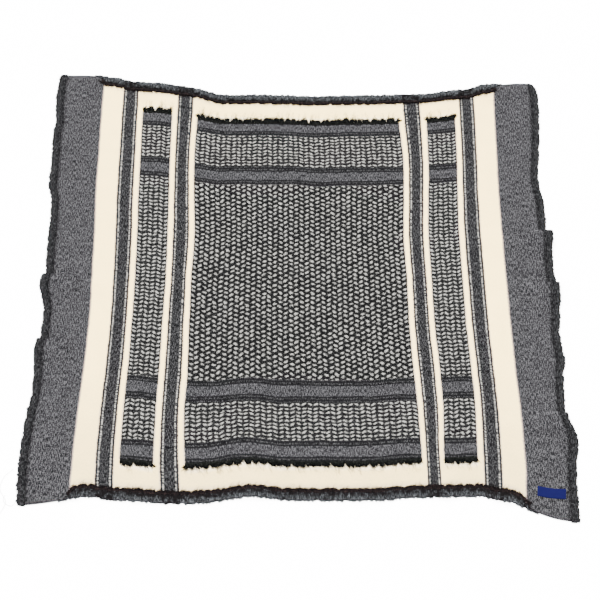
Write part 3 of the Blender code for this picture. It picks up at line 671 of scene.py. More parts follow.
@dataclass
class Term:
    """A value in a node tree, to be added, multiplied and compared like a number."""

    tree: bpy.types.NodeTree
    socket: Union[bpy.types.NodeSocket, float]

    def run(self, operation: str, *others: Number, clamp: bool = False) -> "Term":
        """The result of one Math node on this value and others."""
        node = self.tree.nodes.new("ShaderNodeMath")
        node.operation = operation
        node.use_clamp = clamp
        for place, given in zip(node.inputs, (self, *others)):
            feed(self.tree, place, given)
        return Term(self.tree, node.outputs[0])

    def __add__(self, other: Number) -> "Term":
        """The sum."""
        return self.run("ADD", other)

    def __sub__(self, other: Number) -> "Term":
        """The difference."""
        return self.run("SUBTRACT", other)

    def __mul__(self, other: Number) -> "Term":
        """The product."""
        return self.run("MULTIPLY", other)

    def __truediv__(self, other: Number) -> "Term":
        """The quotient."""
        return self.run("DIVIDE", other)

    def size(self) -> "Term":
        """The value without its sign."""
        return self.run("ABSOLUTE")

    def held(self, gain: float = 1.0) -> "Term":
        """The value times a gain, held between 0 and 1."""
        return self.run("MULTIPLY", gain, clamp=True)

    def over(self, edge: Number, soft: float) -> "Term":
        """1 above an edge and 0 below it, with a ramp of the given width between."""
        return ((self - edge) / soft).run("ADD", 0.5, clamp=True)

    def under(self, edge: Number, soft: float) -> "Term":
        """1 below an edge and 0 above it, with a ramp of the given width between."""
        return Term(self.tree, 1.0).run("SUBTRACT", self.over(edge, soft), clamp=True)

    def within(self, low: float, high: float, soft: float) -> "Term":
        """1 between two edges and 0 outside them, with ramps of the given width."""
        return self.over(low, soft) * self.under(high, soft)

    def chosen(self, yes: Number, no: Number) -> "Term":
        """A mix of two values, with this one as the share of the first."""
        no_term = no if isinstance(no, Term) else Term(self.tree, no)
        yes_term = yes if isinstance(yes, Term) else Term(self.tree, yes)
        return (yes_term - no_term).run("MULTIPLY_ADD", self, no_term)


class Grain(NamedTuple):
    """A noise on the cloth: waves for each metre across and along, layer, detail, roughness."""

    across: float
    along: float
    layer: float = 0.0
    detail: float = 2.0
    rough: float = 0.5


STREAK = Grain(600.0, 140.0, 0.0, 0.0)
SPECK = Grain(700.0, 600.0, 3.0, 0.0)
BLOTCH = Grain(45.0, 30.0, 7.0)
THREAD_SWAY = Grain(160.0, 160.0, 0.0, 1.0)
FUZZ = Grain(900.0, 900.0, 5.0, 2.0, 0.6)
NAP = Grain(28.0, 28.0, 9.0, 3.0, 0.55)
SWAY = Grain(30.0, 30.0, 1.0)
FAR_SWAY = Grain(9.0, 9.0, 4.0, 1.0)
FRAY = Grain(260.0, 260.0, 6.0, 1.0)
TICK_FINE = Grain(330.0, 330.0, 2.0, 2.0, 0.6)
TICK_GRAIN = Grain(600.0, 600.0, 5.0, 0.0)
GROUND_MIST = Grain(430.0, 430.0, 8.0, 1.0)
DASH = Grain(120.0, 330.0, 4.0, 0.0)
# These two count in cells of the ticks and not in metres
TICK_RAG = Grain(3.4, 3.0, 2.0, 2.0, 0.6)
TICK_TEAR = Grain(3.4, 3.0, 6.0, 2.0, 0.6)


@dataclass
class Loom:
    """A node tree with short ways to read the weave and to paint it."""

    tree: bpy.types.NodeTree

    def node(self, kind: str, **settings: object) -> bpy.types.Node:
        """A new node with some of its settings."""
        made = self.tree.nodes.new(kind)
        for name, value in settings.items():
            setattr(made, name, value)
        return made

    def put(self, node: bpy.types.Node, **values: Feed) -> bpy.types.Node:
        """Feed a node's inputs by name, with _ for each space, and give the node back."""
        for name, value in values.items():
            feed(self.tree, node.inputs[name.replace("_", " ")], value)
        return node

    def read(self, node: bpy.types.Node, name: str) -> Term:
        """One output of a node."""
        return Term(self.tree, node.outputs[name])

    def apart(self, vector: bpy.types.NodeSocket) -> list[Term]:
        """The three parts of a vector."""
        split = self.node("ShaderNodeSeparateXYZ")
        self.tree.links.new(vector, split.inputs[0])
        return [Term(self.tree, part) for part in split.outputs]

    def woven(self) -> tuple[bpy.types.NodeSocket, Term, Term, Term]:
        """The woven coordinates as a vector, and u, v and the tone apart."""
        vector = self.node("ShaderNodeAttribute", attribute_name="woven").outputs["Vector"]
        return vector, *self.apart(vector)

    def place(self, u: Number, v: Number, w: Number = 0.0) -> bpy.types.NodeSocket:
        """A vector from three values."""
        return self.put(self.node("ShaderNodeCombineXYZ"), X=u, Y=v, Z=w).outputs[0]

    def noise(self, at: bpy.types.NodeSocket, scale: float, detail: float, rough: float) -> Term:
        """A noise from 0 to 1, at a scale in waves for each metre."""
        made = self.node("ShaderNodeTexNoise", noise_dimensions="3D")
        self.put(made, Vector=at, Scale=scale, Detail=detail, Roughness=rough)
        return self.read(made, "Fac")

    def grain(self, u: Term, v: Term, grain: Grain) -> Term:
        """A noise from 0 to 1 with its own pace each way."""
        at = self.place(u * grain.across, v * grain.along, grain.layer)
        return self.noise(at, 1.0, grain.detail, grain.rough)

    def chance(self, at: bpy.types.NodeSocket) -> Term:
        """A random value from 0 to 1 for each whole place."""
        made = self.node("ShaderNodeTexWhiteNoise", noise_dimensions="3D")
        return self.read(self.put(made, Vector=at), "Value")

    def paint(self, share: Number, below: Paint, above: Paint) -> bpy.types.NodeSocket:
        """One colour over another, by a share."""
        made = self.node("ShaderNodeMix", data_type="RGBA", blend_type="MIX")
        for place, given in ((0, share), (6, below), (7, above)):
            feed(self.tree, made.inputs[place], given)
        return made.outputs[2]

    def use(self, group: bpy.types.NodeTree, **given: Feed) -> bpy.types.Node:
        """Place a group, with its inputs by name and _ for each space."""
        return self.put(self.node("ShaderNodeGroup", node_tree=group), **given)


@dataclass
class Effects:
    """The shader node groups that the finishes share, each built once."""

    melange: bpy.types.NodeTree = field(init=False)
    threads: bpy.types.NodeTree = field(init=False)
    ticks: bpy.types.NodeTree = field(init=False)

    def __post_init__(self) -> None:
        """Build the three groups."""
        self.melange = self.build_melange()
        self.threads = self.build_threads()
        self.ticks = self.build_ticks()

    @staticmethod
    def group(
        name: str, inputs: dict[str, Union[float, Colour, None]], outputs: dict[str, str],
    ) -> tuple[Loom, bpy.types.Node, bpy.types.Node]:
        """A new group with named sockets.

        Args:
            name: The group's name.
            inputs: Default value by name: a number, a colour, or None for a vector.
            outputs: Kind of socket by name.

        Returns:
            The group's tree in a loom, its input node and its output node.
        """
        made = bpy.data.node_groups.new(name, "ShaderNodeTree")
        add = made.interface.new_socket
        for label, value in inputs.items():
            kind = "Vector" if value is None else "Color" if isinstance(value, tuple) else "Float"
            socket = add(name=label, in_out="INPUT", socket_type=f"NodeSocket{kind}")
            if value is not None:
                socket.default_value = (*value, 1.0) if isinstance(value, tuple) else value
        for label, kind in outputs.items():
            add(name=label, in_out="OUTPUT", socket_type=f"NodeSocket{kind}")
        return Loom(made), made.nodes.new("NodeGroupInput"), made.nodes.new("NodeGroupOutput")

    def build_melange(self) -> bpy.types.NodeTree:
        """Mixed light and dark yarn: specks drawn out along the warp, with a soft blotch."""
        loom, given, out = self.group(
            "melange_yarn",
            {
                "Vector": None, "Dark": (0.05, 0.05, 0.05), "Light": (0.30, 0.30, 0.30),
                "Contrast": 1.0, "Light Share": 0.24,
            },
            {"Color": "Color", "Height": "Float"},
        )
        u, v, _ = loom.apart(given.outputs["Vector"])
        streak, speck, blotch = (loom.grain(u, v, grain) for grain in (STREAK, SPECK, BLOTCH))
        mixed = (streak - 0.5) * 2.5 + (speck - 0.5) * 3.2 + (blotch - 0.5) * 0.40
        mixed = mixed * loom.read(given, "Contrast")
        share = mixed.run("ADD", loom.read(given, "Light Share"), clamp=True)
        shade = loom.paint(share, given.outputs["Dark"], given.outputs["Light"])
        loom.put(out, Color=shade, Height=streak * 0.5 + speck * 0.5)
        return loom.tree

    def build_threads(self) -> bpy.types.NodeTree:
        """A plain weave: crossed sine threads, made uneven by noise."""
        loom, given, out = self.group(
            "crossed_threads", {"Vector": None, "Pitch": 0.0012}, {"Height": "Float", "Nap": "Float"},
        )
        u, v, _ = loom.apart(given.outputs["Vector"])
        pitch = loom.read(given, "Pitch")
        sway, fuzz, nap = (loom.grain(u, v, grain) for grain in (THREAD_SWAY, FUZZ, NAP))
        across, along = ((way / pitch * TURN + sway * 3.0).run("SINE") for way in (u, v))
        loom.put(out, Height=across * along * 0.25 + fuzz * 0.5 + 0.25, Nap=nap)
        return loom.tree

    def build_ticks(self) -> bpy.types.NodeTree:
        """A slanted oval in each cell, its slant turned round in every second column.

        The oval is 1.35 less the sum of two squares: the place across the cell over the half
        width, and the sheared place along it over the half height.
        """
        loom, given, out = self.group(
            "slanted_ticks",
            {"Across": 0.0, "Along": 0.0, "Half Width": 0.4, "Half Height": 0.35, "Slant": 0.4},
            {"Mask": "Float", "Tone": "Float"},
        )
        across, along = loom.read(given, "Across"), loom.read(given, "Along")
        column, row = across.run("FLOOR"), along.run("FLOOR")
        tone, other = (loom.chance(loom.place(column, row, layer)) for layer in (0.5, 8.5))
        way = (column * 0.5).run("FRACT").over(0.25, 0.01) * 2.0 - 1.0
        rag, tear = (loom.grain(across, along, grain) - 0.5 for grain in (TICK_RAG, TICK_TEAR))
        p = across - column - 0.5 + (other - 0.5) * 0.20 + rag * 0.44
        q = along - row - 0.5 + (tone - 0.5) * 0.20 + tear * 0.60
        sheared = q - way * p * (loom.read(given, "Slant") * (other * 0.8 + 0.6))
        wide = (p / loom.read(given, "Half Width")).run("POWER", 2.0)
        tall = sheared / (loom.read(given, "Half Height") * (other * 0.45 + 0.78))
        oval = Term(loom.tree, 1.35).run("SUBTRACT", wide + tall.run("POWER", 2.0))
        soft = (oval / 1.15).held()
        loom.put(out, Mask=soft * soft, Tone=tone)
        return loom.tree


@dataclass(frozen=True)
class Dye:
    """The colours of the yarns, in linear light. They are deep, because the room is very bright."""

    cream: Colour = (0.940, 0.690, 0.270)
    # Deeper cream, for the nap's random tone and for painted shade towards the bottom end
    cream_nap_and_shade: Colour = (0.600, 0.455, 0.205)
    # Grey rims of the cream: beside the dark lines, and at the hems partly painted shadow of the hem
    # roll
    cream_edge: Colour = (0.265, 0.232, 0.225)
    cream_under: Colour = (0.690, 0.605, 0.450)
    tick: Colour = (0.190, 0.186, 0.172)
    tick_grey: Colour = (0.0420, 0.0420, 0.0405)
    tick_ground: Colour = (0.0014, 0.0014, 0.0015)
    ground_speck: Colour = (0.0200, 0.0200, 0.0202)
    melange_light: Colour = (0.0510, 0.0501, 0.0528)
    melange_dark: Colour = (0.0040, 0.0040, 0.0044)
    stripe_light: Colour = (0.0385, 0.0382, 0.0394)
    stripe_dark: Colour = (0.0020, 0.0020, 0.0022)
    line_light: Colour = (0.190, 0.182, 0.165)
    line_dark: Colour = (0.0074, 0.0066, 0.0071)
    band_line: Colour = (0.0027, 0.0027, 0.0030)
    selvedge_light: Colour = (0.0255, 0.0255, 0.0266)
    selvedge_dark: Colour = (0.0020, 0.0020, 0.0022)
    hem_light: Colour = (0.0540, 0.0572, 0.0608)
    hem_dark: Colour = (0.0028, 0.0028, 0.0032)
    hem_deep: Colour = (0.0030, 0.0026, 0.0027)
    black: Colour = (0.0018, 0.0020, 0.0018)
    black_light: Colour = (0.0120, 0.0125, 0.0115)
    rust: Colour = (0.0150, 0.0095, 0.0092)
    pink: Colour = (0.120, 0.092, 0.092)
    navy: Colour = (0.0026, 0.0025, 0.0199)
    navy_light: Colour = (0.0052, 0.0056, 0.0375)


@dataclass(frozen=True)
class Finish:
    """What every cloth finish shares: its name, its gloss and the strength of its relief."""

    name: str
    gloss: float = 0.01
    rough: float = 0.92
    relief: float = 0.6
    depth: float = 0.0006
    dye: Dye = Dye()

    def begin(self) -> tuple[bpy.types.Material, Loom, bpy.types.Node]:
        """A new material, its tree and its shader."""
        made = bpy.data.materials.new(self.name)
        made.use_nodes = True
        loom, shader = Loom(made.node_tree), made.node_tree.nodes["Principled BSDF"]
        loom.put(shader, Metallic=0.0, Roughness=self.rough, Specular_IOR_Level=self.gloss)
        return made, loom, shader

    def end(
        self, loom: Loom, shader: bpy.types.Node, colour: bpy.types.NodeSocket, height: Term,
    ) -> None:
        """Link the colour, and the relief through a Bump node."""
        bump = loom.node("ShaderNodeBump")
        loom.put(bump, Strength=self.relief, Distance=self.depth, Height=height)
        loom.put(shader, Base_Color=colour, Normal=bump.outputs["Normal"])


class Places(NamedTuple):
    """Where the panel's pattern is painted.

    Attributes:
        vector: The woven coordinates.
        u: The place across the cloth, as the uneven lines run.
        v: The place along it, as they run.
        across: How far u is from the middle.
        far: How far v is from the pattern's middle.
        block: 1 on the centre block's width.
        large: 1 on its large ticks.
    """

    vector: bpy.types.NodeSocket
    u: Term
    v: Term
    across: Term
    far: Term
    block: Term
    large: Term


@dataclass(frozen=True)
class PanelFinish(Finish):
    """The patterned panel: cream ground, grey borders, stripes, bands and ticks.

    Attributes:
        cell: Width of a tick's cell in the centre; column_cell is that of a side column.
        large_row: Height of a cell of the large ticks; the small and column ones follow.
        large_end: How far the large ticks reach from the pattern's middle.
        small_start: Where the rows of the small ticks are counted from.
        small_from: Where the small ticks take over, under the inner bands.
        outer_stripe: Middle and half width of each outer stripe; inner_stripe is the same.
        bands: How far the inner and the outer bands are from the pattern's middle.
        band_half: Half width of a band; band_core is its melange, band_lines its dark lines.
        soft: The ramp of the pattern's own edges.
        rim: Half width and ramp of the grey rim along a line; rim_share is its strength.
        hem_shade: How far the hem's shade reaches on the cream.
        tuft_reach: How far the floats' paler ground reaches on it.
        dim_share: How much light yarn the stripes and the bands' sides have.
    """

    cell: float = 0.012225
    column_cell: float = 0.01158
    large_row: float = 0.01115
    small_row: float = 0.0087
    column_row: float = 0.00906
    large_end: float = 0.2341
    small_start: float = 0.2844
    small_from: float = 0.26
    outer_stripe: tuple[float, float] = (0.40275, 0.01775)
    inner_stripe: tuple[float, float] = (0.2735, 0.0165)
    bands: tuple[float, float] = (0.2591, 0.3910)
    band_half: float = 0.0242
    band_core: float = 0.0128
    band_lines: tuple[tuple[float, float], ...] = ((0.0113, 0.0143), (0.0184, 0.0216))
    soft: float = 0.0010
    rim: tuple[float, float] = (0.0022, 0.0030)
    rim_share: float = 0.75
    hem_shade: float = 0.014
    tuft_reach: float = 0.012
    dim_share: float = 0.09

    def build(self, effects: Effects) -> bpy.types.Material:
        """Paint the pattern from the woven coordinates.

        Args:
            effects: The shared node groups.

        Returns:
            The panel's material.
        """
        made, loom, shader = self.begin()
        dye = self.dye
        vector, u, v, _ = loom.woven()
        sway, far_sway, fray = (loom.grain(u, v, grain) - 0.5 for grain in (SWAY, FAR_SWAY, FRAY))
        line_u = u + sway * 0.0024 + fray * 0.0030
        line_v = v + sway * 0.0040 + far_sway * 0.0090 + fray * 0.0030
        across, far = line_u.size(), (line_v - PATTERN_MIDDLE).size()
        block = across.under(CENTRE_LINE, self.soft)
        large = block * far.under(self.large_end, 0.0008)
        at = Places(vector, line_u, line_v, across, far, block, large)
        parts = block + across.within(*COLUMN, self.soft)
        figured = parts * line_v.within(BOTTOM_FLOAT_LINE, TOP_FLOAT_LINE, self.soft)
        threads = loom.use(effects.threads, Vector=vector)
        melange = loom.use(
            effects.melange, Vector=vector, Dark=dye.melange_dark, Light=dye.melange_light,
        ).outputs["Color"]

        nap_tone_and_shade = (loom.read(threads, "Nap") - 0.35) * 0.45 + fray * 0.55
        # Painted shade: the cream grows darker towards the bottom end
        nap_tone_and_shade = nap_tone_and_shade + (v * -3.0 - 0.62).run("MAXIMUM", 0.0)
        cream = loom.paint(nap_tone_and_shade.held(), dye.cream, dye.cream_nap_and_shade)
        middle = (TOP_FLOAT_LINE + BOTTOM_FLOAT_LINE) / 2
        reach = (TOP_FLOAT_LINE - BOTTOM_FLOAT_LINE) / 2 + self.tuft_reach
        tufted = parts * (line_v - middle).size().under(reach, self.tuft_reach)
        cream = loom.paint(tufted, cream, dye.cream_under)
        # The grey rims, at the hems partly painted shadow of the hem roll
        cream = loom.paint(self.rims(loom, at, v, sway), cream, dye.cream_edge)

        ground, tick_mask = self.figures(loom, effects, at)
        banded, in_band = self.banded(loom, effects, at, ground, melange)
        colour = loom.paint(figured, cream, banded)
        colour = self.striped(loom, effects, at, v, colour)
        colour = loom.paint(v.size().over(PANEL_END - 0.0215, self.soft), colour, dye.hem_dark)
        colour = loom.paint(across.over(BORDER_LINE, 0.0012), colour, melange)
        edge_line = across.within(BORDER_LINE - 0.0022, BORDER_LINE + 0.0008, 0.0018)
        colour = loom.paint(edge_line * 0.60, colour, dye.pink)
        # Painted shade on the strip of panel at the seam, in the groove at the selvedge's foot
        seam = (across + fray * 0.006).over(SEAM_LINE + 0.0030, 0.0080)
        colour = loom.paint(seam * 0.75, colour, dye.selvedge_dark)
        raised = figured * in_band.under(0.5, 0.2) * tick_mask
        self.end(loom, shader, colour, loom.read(threads, "Height") * 0.35 + raised * 0.9)
        return made

    def rims(self, loom: Loom, at: Places, v: Term, sway: Term) -> Term:
        """The grey rims of the cream: at the hems partly painted shadow of the hem roll and partly its
        reddish fuzz, and beside every dark line.

        Args:
            loom: The material's tree.
            at: Where the pattern lies.
            v: The plain place along the cloth.
            sway: The slow unevenness of its lines.

        Returns:
            The strength of the rim.
        """
        # Along each hem: painted shadow of the hem roll, with its reddish fuzz
        hem = HALF_LENGTH - HEM_WIDTH - self.hem_shade
        rim = (v.size() + sway * 0.004).over(hem, self.hem_shade) * 0.55
        beside = at.v.within(BOTTOM_FLOAT_LINE, TOP_FLOAT_LINE, 0.0040) * self.rim_share
        lines = [(BORDER_LINE, 0.0, self.rim_share)]
        lines += [(line, 0.0, beside) for line in (CENTRE_LINE, *COLUMN)]
        lines += [(*stripe, self.rim_share) for stripe in (self.outer_stripe, self.inner_stripe)]
        for middle, half, strength in lines:
            near = (at.across - middle).size().under(half + self.rim[0], self.rim[1])
            rim = rim.run("MAXIMUM", near * strength)
        return rim

    def figures(
        self, loom: Loom, effects: Effects, at: Places,
    ) -> tuple[bpy.types.NodeSocket, Term]:
        """The ticks of the block and of the side columns, in cells counted from their corners.

        Args:
            loom: The material's tree.
            effects: The shared node groups.
            at: Where the pattern lies.

        Returns:
            The figured weave's colour, and 1 on its ticks.
        """
        dye = self.dye
        column_u = (at.across - COLUMN[0]) / self.column_cell
        cell_u = at.block.over(0.5, 0.01).chosen(at.u / self.cell, column_u)
        odd = (cell_u.run("FLOOR") * 0.5).run("FRACT").over(0.25, 0.01)
        hard_large = at.large.over(0.5, 0.01)
        close = hard_large.chosen(0.0, 1.0)
        near_v = hard_large.chosen(at.v / self.large_row + odd * 0.5, at.v / self.column_row)
        far_v = (at.far - self.small_start) / self.small_row
        cell_v = at.far.over(self.small_from, 0.0005).chosen(far_v, near_v)
        ticks = loom.use(
            effects.ticks, Across=cell_u, Along=cell_v, Half_Width=hard_large.chosen(0.44, 0.45),
            Half_Height=hard_large.chosen(0.285, 0.278), Slant=hard_large.chosen(0.36, 0.44),
        )
        mask, tone = loom.read(ticks, "Mask"), loom.read(ticks, "Tone")
        fine, grain, mist = (
            loom.grain(at.u, at.v, kind) for kind in (TICK_FINE, TICK_GRAIN, GROUND_MIST)
        )
        shade = tone * 0.50 + fine * 2.2 + grain * 2.4 + mask * 0.3 + close * 0.16
        tick = loom.paint(shade.run("ADD", -2.15, clamp=True), dye.tick_grey, dye.tick)
        speck = (mist + close * 0.04 - 0.515).held(5.0)
        return loom.paint(mask, loom.paint(speck, dye.tick_ground, dye.ground_speck), tick), mask

    def dim(self, loom: Loom, effects: Effects, at: Places) -> bpy.types.NodeSocket:
        """The darker mixed yarn of the stripes and of the bands' sides."""
        return loom.use(
            effects.melange, Vector=at.vector, Dark=self.dye.stripe_dark,
            Light=self.dye.stripe_light, Light_Share=self.dim_share,
        ).outputs["Color"]

    def banded(
        self, loom: Loom, effects: Effects, at: Places, ground: bpy.types.NodeSocket,
        melange: bpy.types.NodeSocket,
    ) -> tuple[bpy.types.NodeSocket, Term]:
        """The grey bands over the ticks: a melange zone between two dark lines on each side.

        Args:
            loom: The material's tree.
            effects: The shared node groups.
            at: Where the pattern lies.
            ground: The colour under the bands.
            melange: The colour of their middle zone.

        Returns:
            The colour with the bands, and 1 on them.
        """
        inner, outer = ((at.far - middle).size() for middle in self.bands)
        far = inner.run("MINIMUM", outer)
        in_band = far.under(self.band_half, 0.0008)
        grey = loom.paint(far.over(self.band_core, 0.0012), melange, self.dim(loom, effects, at))
        first, second = (far.within(*line, self.soft) for line in self.band_lines)
        grey = loom.paint((first + second).run("MINIMUM", 0.9), grey, self.dye.band_line)
        return loom.paint(in_band, ground, grey), in_band

    def striped(
        self, loom: Loom, effects: Effects, at: Places, v: Term, colour: bpy.types.NodeSocket,
    ) -> bpy.types.NodeSocket:
        """The two stripes of each side: a dark band, a dashed light line and a dark line.

        Args:
            loom: The material's tree.
            effects: The shared node groups.
            at: Where the pattern lies.
            v: The plain place along the cloth.
            colour: The colour under the stripes.

        Returns:
            The colour with the stripes.
        """
        stripes = (self.outer_stripe, self.inner_stripe)
        outer, inner = ((at.across - middle).size() / half for middle, half in stripes)
        far = outer.run("MINIMUM", inner)
        light = far.within(0.63, 0.78, 0.10) * (loom.grain(at.across, v, DASH) - 0.36).held(4.5)
        stripe = loom.paint(light, self.dim(loom, effects, at), self.dye.line_light)
        stripe = loom.paint(far.over(0.81, 0.06) * 0.85, stripe, self.dye.line_dark)
        return loom.paint(far.under(1.03, 0.08), colour, stripe)


@dataclass(frozen=True)
class YarnFinish(Finish):
    """Mixed yarn for selvedges, hems and floats, darker by the tone that each vertex carries, which
    holds painted shade on the selvedges and hems.
    """

    light: Colour = Dye.selvedge_light
    dark: Colour = Dye.selvedge_dark
    deep: Colour = Dye.black
    pitch: float = 0.0022
    mottle: float = 0.7
    mottle_pace: tuple[float, float] = (150.0, 150.0)

    def build(self, effects: Effects) -> bpy.types.Material:
        """Melange yarn in woolly clumps, with the deep colour where the tone is high."""
        made, loom, shader = self.begin()
        vector, u, v, tone = loom.woven()
        yarn = loom.use(effects.melange, Vector=vector, Dark=self.dark, Light=self.light)
        threads = loom.use(effects.threads, Vector=vector, Pitch=self.pitch)
        clump = loom.grain(u, v, Grain(*self.mottle_pace, 2.0, 2.0, 0.6))
        edge = loom.noise(vector, 260.0, 3.0, 0.6)
        share = tone + (edge - 0.5) * 0.7 + (clump - 0.5) * self.mottle * 2.0
        share = share.run("SUBTRACT", 0.02, clamp=True)
        colour = loom.paint(share, yarn.outputs["Color"], self.deep)
        height = loom.read(yarn, "Height") * 0.5 + loom.read(threads, "Height") * 0.3
        self.end(loom, shader, colour, height + clump * 0.8)
        return made


@dataclass(frozen=True)
class TapeFinish(Finish):
    """A fine woven tape: ribs across it and a slightly lighter face."""

    pitch: float = 0.0007

    def build(self, effects: Effects) -> bpy.types.Material:
        """Navy ribs from the crossed threads, with a faint change of tone."""
        made, loom, shader = self.begin()
        vector, _, v, tone = loom.woven()
        height = loom.read(loom.use(effects.threads, Vector=vector, Pitch=self.pitch), "Height")
        share = (height * 0.8 + tone * 0.4).run("SUBTRACT", 0.2, clamp=True)
        colour = loom.paint(share, self.dye.navy, self.dye.navy_light)
        self.end(loom, shader, colour, height + (v / self.pitch * TURN).run("SINE") * 0.3)
        return made


@dataclass
class Panel:
    """The woven panel that carries the pattern."""

    lay: Lay
    finish: bpy.types.Material
    middle_columns: int = 178
    border_columns: int = 22

    def build(self) -> bpy.types.Object:
        """A closed sheet over lines across the cloth, with close rows at the tucks."""
        edge = SEAM_LINE + SEAM_COVER
        middle = np.linspace(-BORDER_LINE, BORDER_LINE, self.middle_columns + 1)
        border = np.linspace(BORDER_LINE, edge, self.border_columns + 1)[1:]
        columns = np.concatenate((-border[::-1], middle, border))
        v = np.stack([self.lay.rows_at(u) for u in columns])
        u = np.broadcast_to(columns[:, None], v.shape)
        top = self.lay.over(u, v, 0.0)
        bottom = self.lay.over(u, v, -WALL + 0.0002)
        woven = np.concatenate([woven_at(u, v, 0.0)] * 2)
        return piece("cloth_panel", Weft.shell(top, bottom), self.finish, woven, "cream_weave", "cloth")


@dataclass
class Selvedge:
    """A dense woven edge, thick and soft on its outer side, with short fuzz."""

    lay: Lay
    side: Side
    finish: bpy.types.Material
    hairs: int = 3200
    hair_length: tuple[float, float] = (0.0012, 0.0040)
    hair_radius: float = 0.00024
    outer_hairs: float = 0.6
    seed: int = 5
    inset: float = 0.0065
    lumps: float = 0.0014
    # Strength of the painted shade at the roll's foot along the seam
    seam_shade: float = 0.42
    end_round: float = 0.004

    # Share of the width from the seam, height over the cloth's underside
    profile: tuple[tuple[float, float], ...] = (
        (-0.08, 0.00165), (-0.02, 0.00195), (0.10, 0.00215), (0.28, 0.00230), (0.48, 0.00255),
        (0.68, 0.00275), (0.84, 0.00280), (0.94, 0.00245), (0.99, 0.00190), (1.005, 0.0012),
        (0.98, 0.00055), (0.92, 0.00015), (0.60, 0.00010), (0.20, 0.00010), (0.01, 0.00020),
        (0.01, 0.00120),
    )

    @property
    def name(self) -> str:
        """The side's name in the pieces."""
        return self.side.name.lower()

    def build(self) -> list[bpy.types.Object]:
        """The edge as a swept profile with a lumpy outline, and its fuzz."""
        way = self.side.value
        width = HALF_WIDTH - SEAM_LINE - self.inset
        share = np.array(self.profile)
        v_line = self.rows(way * (HALF_WIDTH - width / 2))
        places = SEAM_LINE + self.inset + width * share[:, 0]
        v = np.stack([self.rows(way * place) for place in places], axis=1)
        lump = Rumple(self.seed, 0.012, 0.040).at(v_line)[:, None]
        small = Rumple(self.seed + 1, 0.005, 0.011).at(v_line)[:, None]
        out = np.clip((share[:, 0] - 0.5) * 2, 0, 1)[None, :] ** 2
        u = places[None, :] + out * (0.0004 + lump * self.lumps + small * self.lumps)
        swell = np.clip(share[:, 1] / 0.002, 0, 1)[None, :] * small * 0.06
        height = share[:, 1][None, :] * (1 + swell)
        # The ends close round, by a taper over the last rows
        taper = np.clip((HALF_LENGTH - np.abs(v_line)) / self.end_round, 0, 1)[:, None]
        height = 0.0008 + (height - 0.0008) * (0.45 + 0.55 * np.sqrt(taper))
        rings = self.lay.over(way * u, v, height - WALL)
        # Painted shade at the foot of the roll, along the seam where it meets the panel; the patches are
        # random tone
        dark = np.exp(-((share[:, 0] - 0.10) / 0.22) ** 2)
        patch = np.clip(Rumple(self.seed + 2, 0.020, 0.060).at(v_line)[:, None] * 0.6, -0.3, 0.6)
        tone = self.seam_shade * dark[None, :] * (1 + patch) + 0.10 * patch + 0.05
        made = sweep(
            f"selvedge_{self.name}_weave", rings, self.finish, woven_at(way * u, v, tone),
            "charcoal_selvedge", f"selvedge_{self.name}",
        )
        return [made, self.fuzz()]

    def rows(self, u: float) -> np.ndarray:
        """The panel's rows on one line, with two more between each pair, out to the ends."""
        rows = self.lay.rows_at(u) * (HALF_LENGTH - 0.0006) / PANEL_END
        index = np.arange(len(rows))
        return np.interp(np.linspace(0, index[-1], 3 * len(rows) - 2), index, rows)

    def fuzz(self) -> bpy.types.Object:
        """Short bent hairs on the outer part of the edge."""
        rng = np.random.default_rng(self.seed + 40)
        way = self.side.value
        many = self.hairs
        v = rng.uniform(-HALF_LENGTH + 0.003, HALF_LENGTH - 0.003, many)
        outer = rng.random(many) < self.outer_hairs
        share = np.where(outer, rng.uniform(0.86, 0.99, many), rng.uniform(0.05, 0.9, many))
        u = SEAM_LINE + (HALF_WIDTH - SEAM_LINE) * share
        length = rng.uniform(*self.hair_length, many)
        step = np.linspace(0, 1, 4)[None, :]
        swing = rng.uniform(-1, 1, many)[:, None] * length[:, None]
        path_u = u[:, None] + length[:, None] * step * np.where(share > 0.8, 0.8, 0.3)[:, None]
        path_v = v[:, None] + swing * step ** 2
        rise = np.where(share > 0.8, 0.0013, 0.0024)[:, None] + 0.0006 * np.sin(step * 2.4)
        paths = self.lay.over(way * path_u, path_v, rise - WALL)
        paths[..., 2] = np.maximum(paths[..., 2], 0.0004)
        radii = self.hair_radius * (1 - 0.7 * step) * np.ones((many, 1))
        woven = np.repeat(woven_at(way * path_u, path_v, 0.1), 3, axis=1)
        return piece(
            f"selvedge_{self.name}_fuzz", Weft.strands(paths, radii), self.finish, woven,
            "charcoal_selvedge",
        )


def hem_taper(u: np.ndarray) -> np.ndarray:
    """How full a hem is across the cloth: 1 in the middle, and low where it meets a border."""
    return 0.22 + 0.78 * ease((0.490 - np.abs(u)) / 0.034)


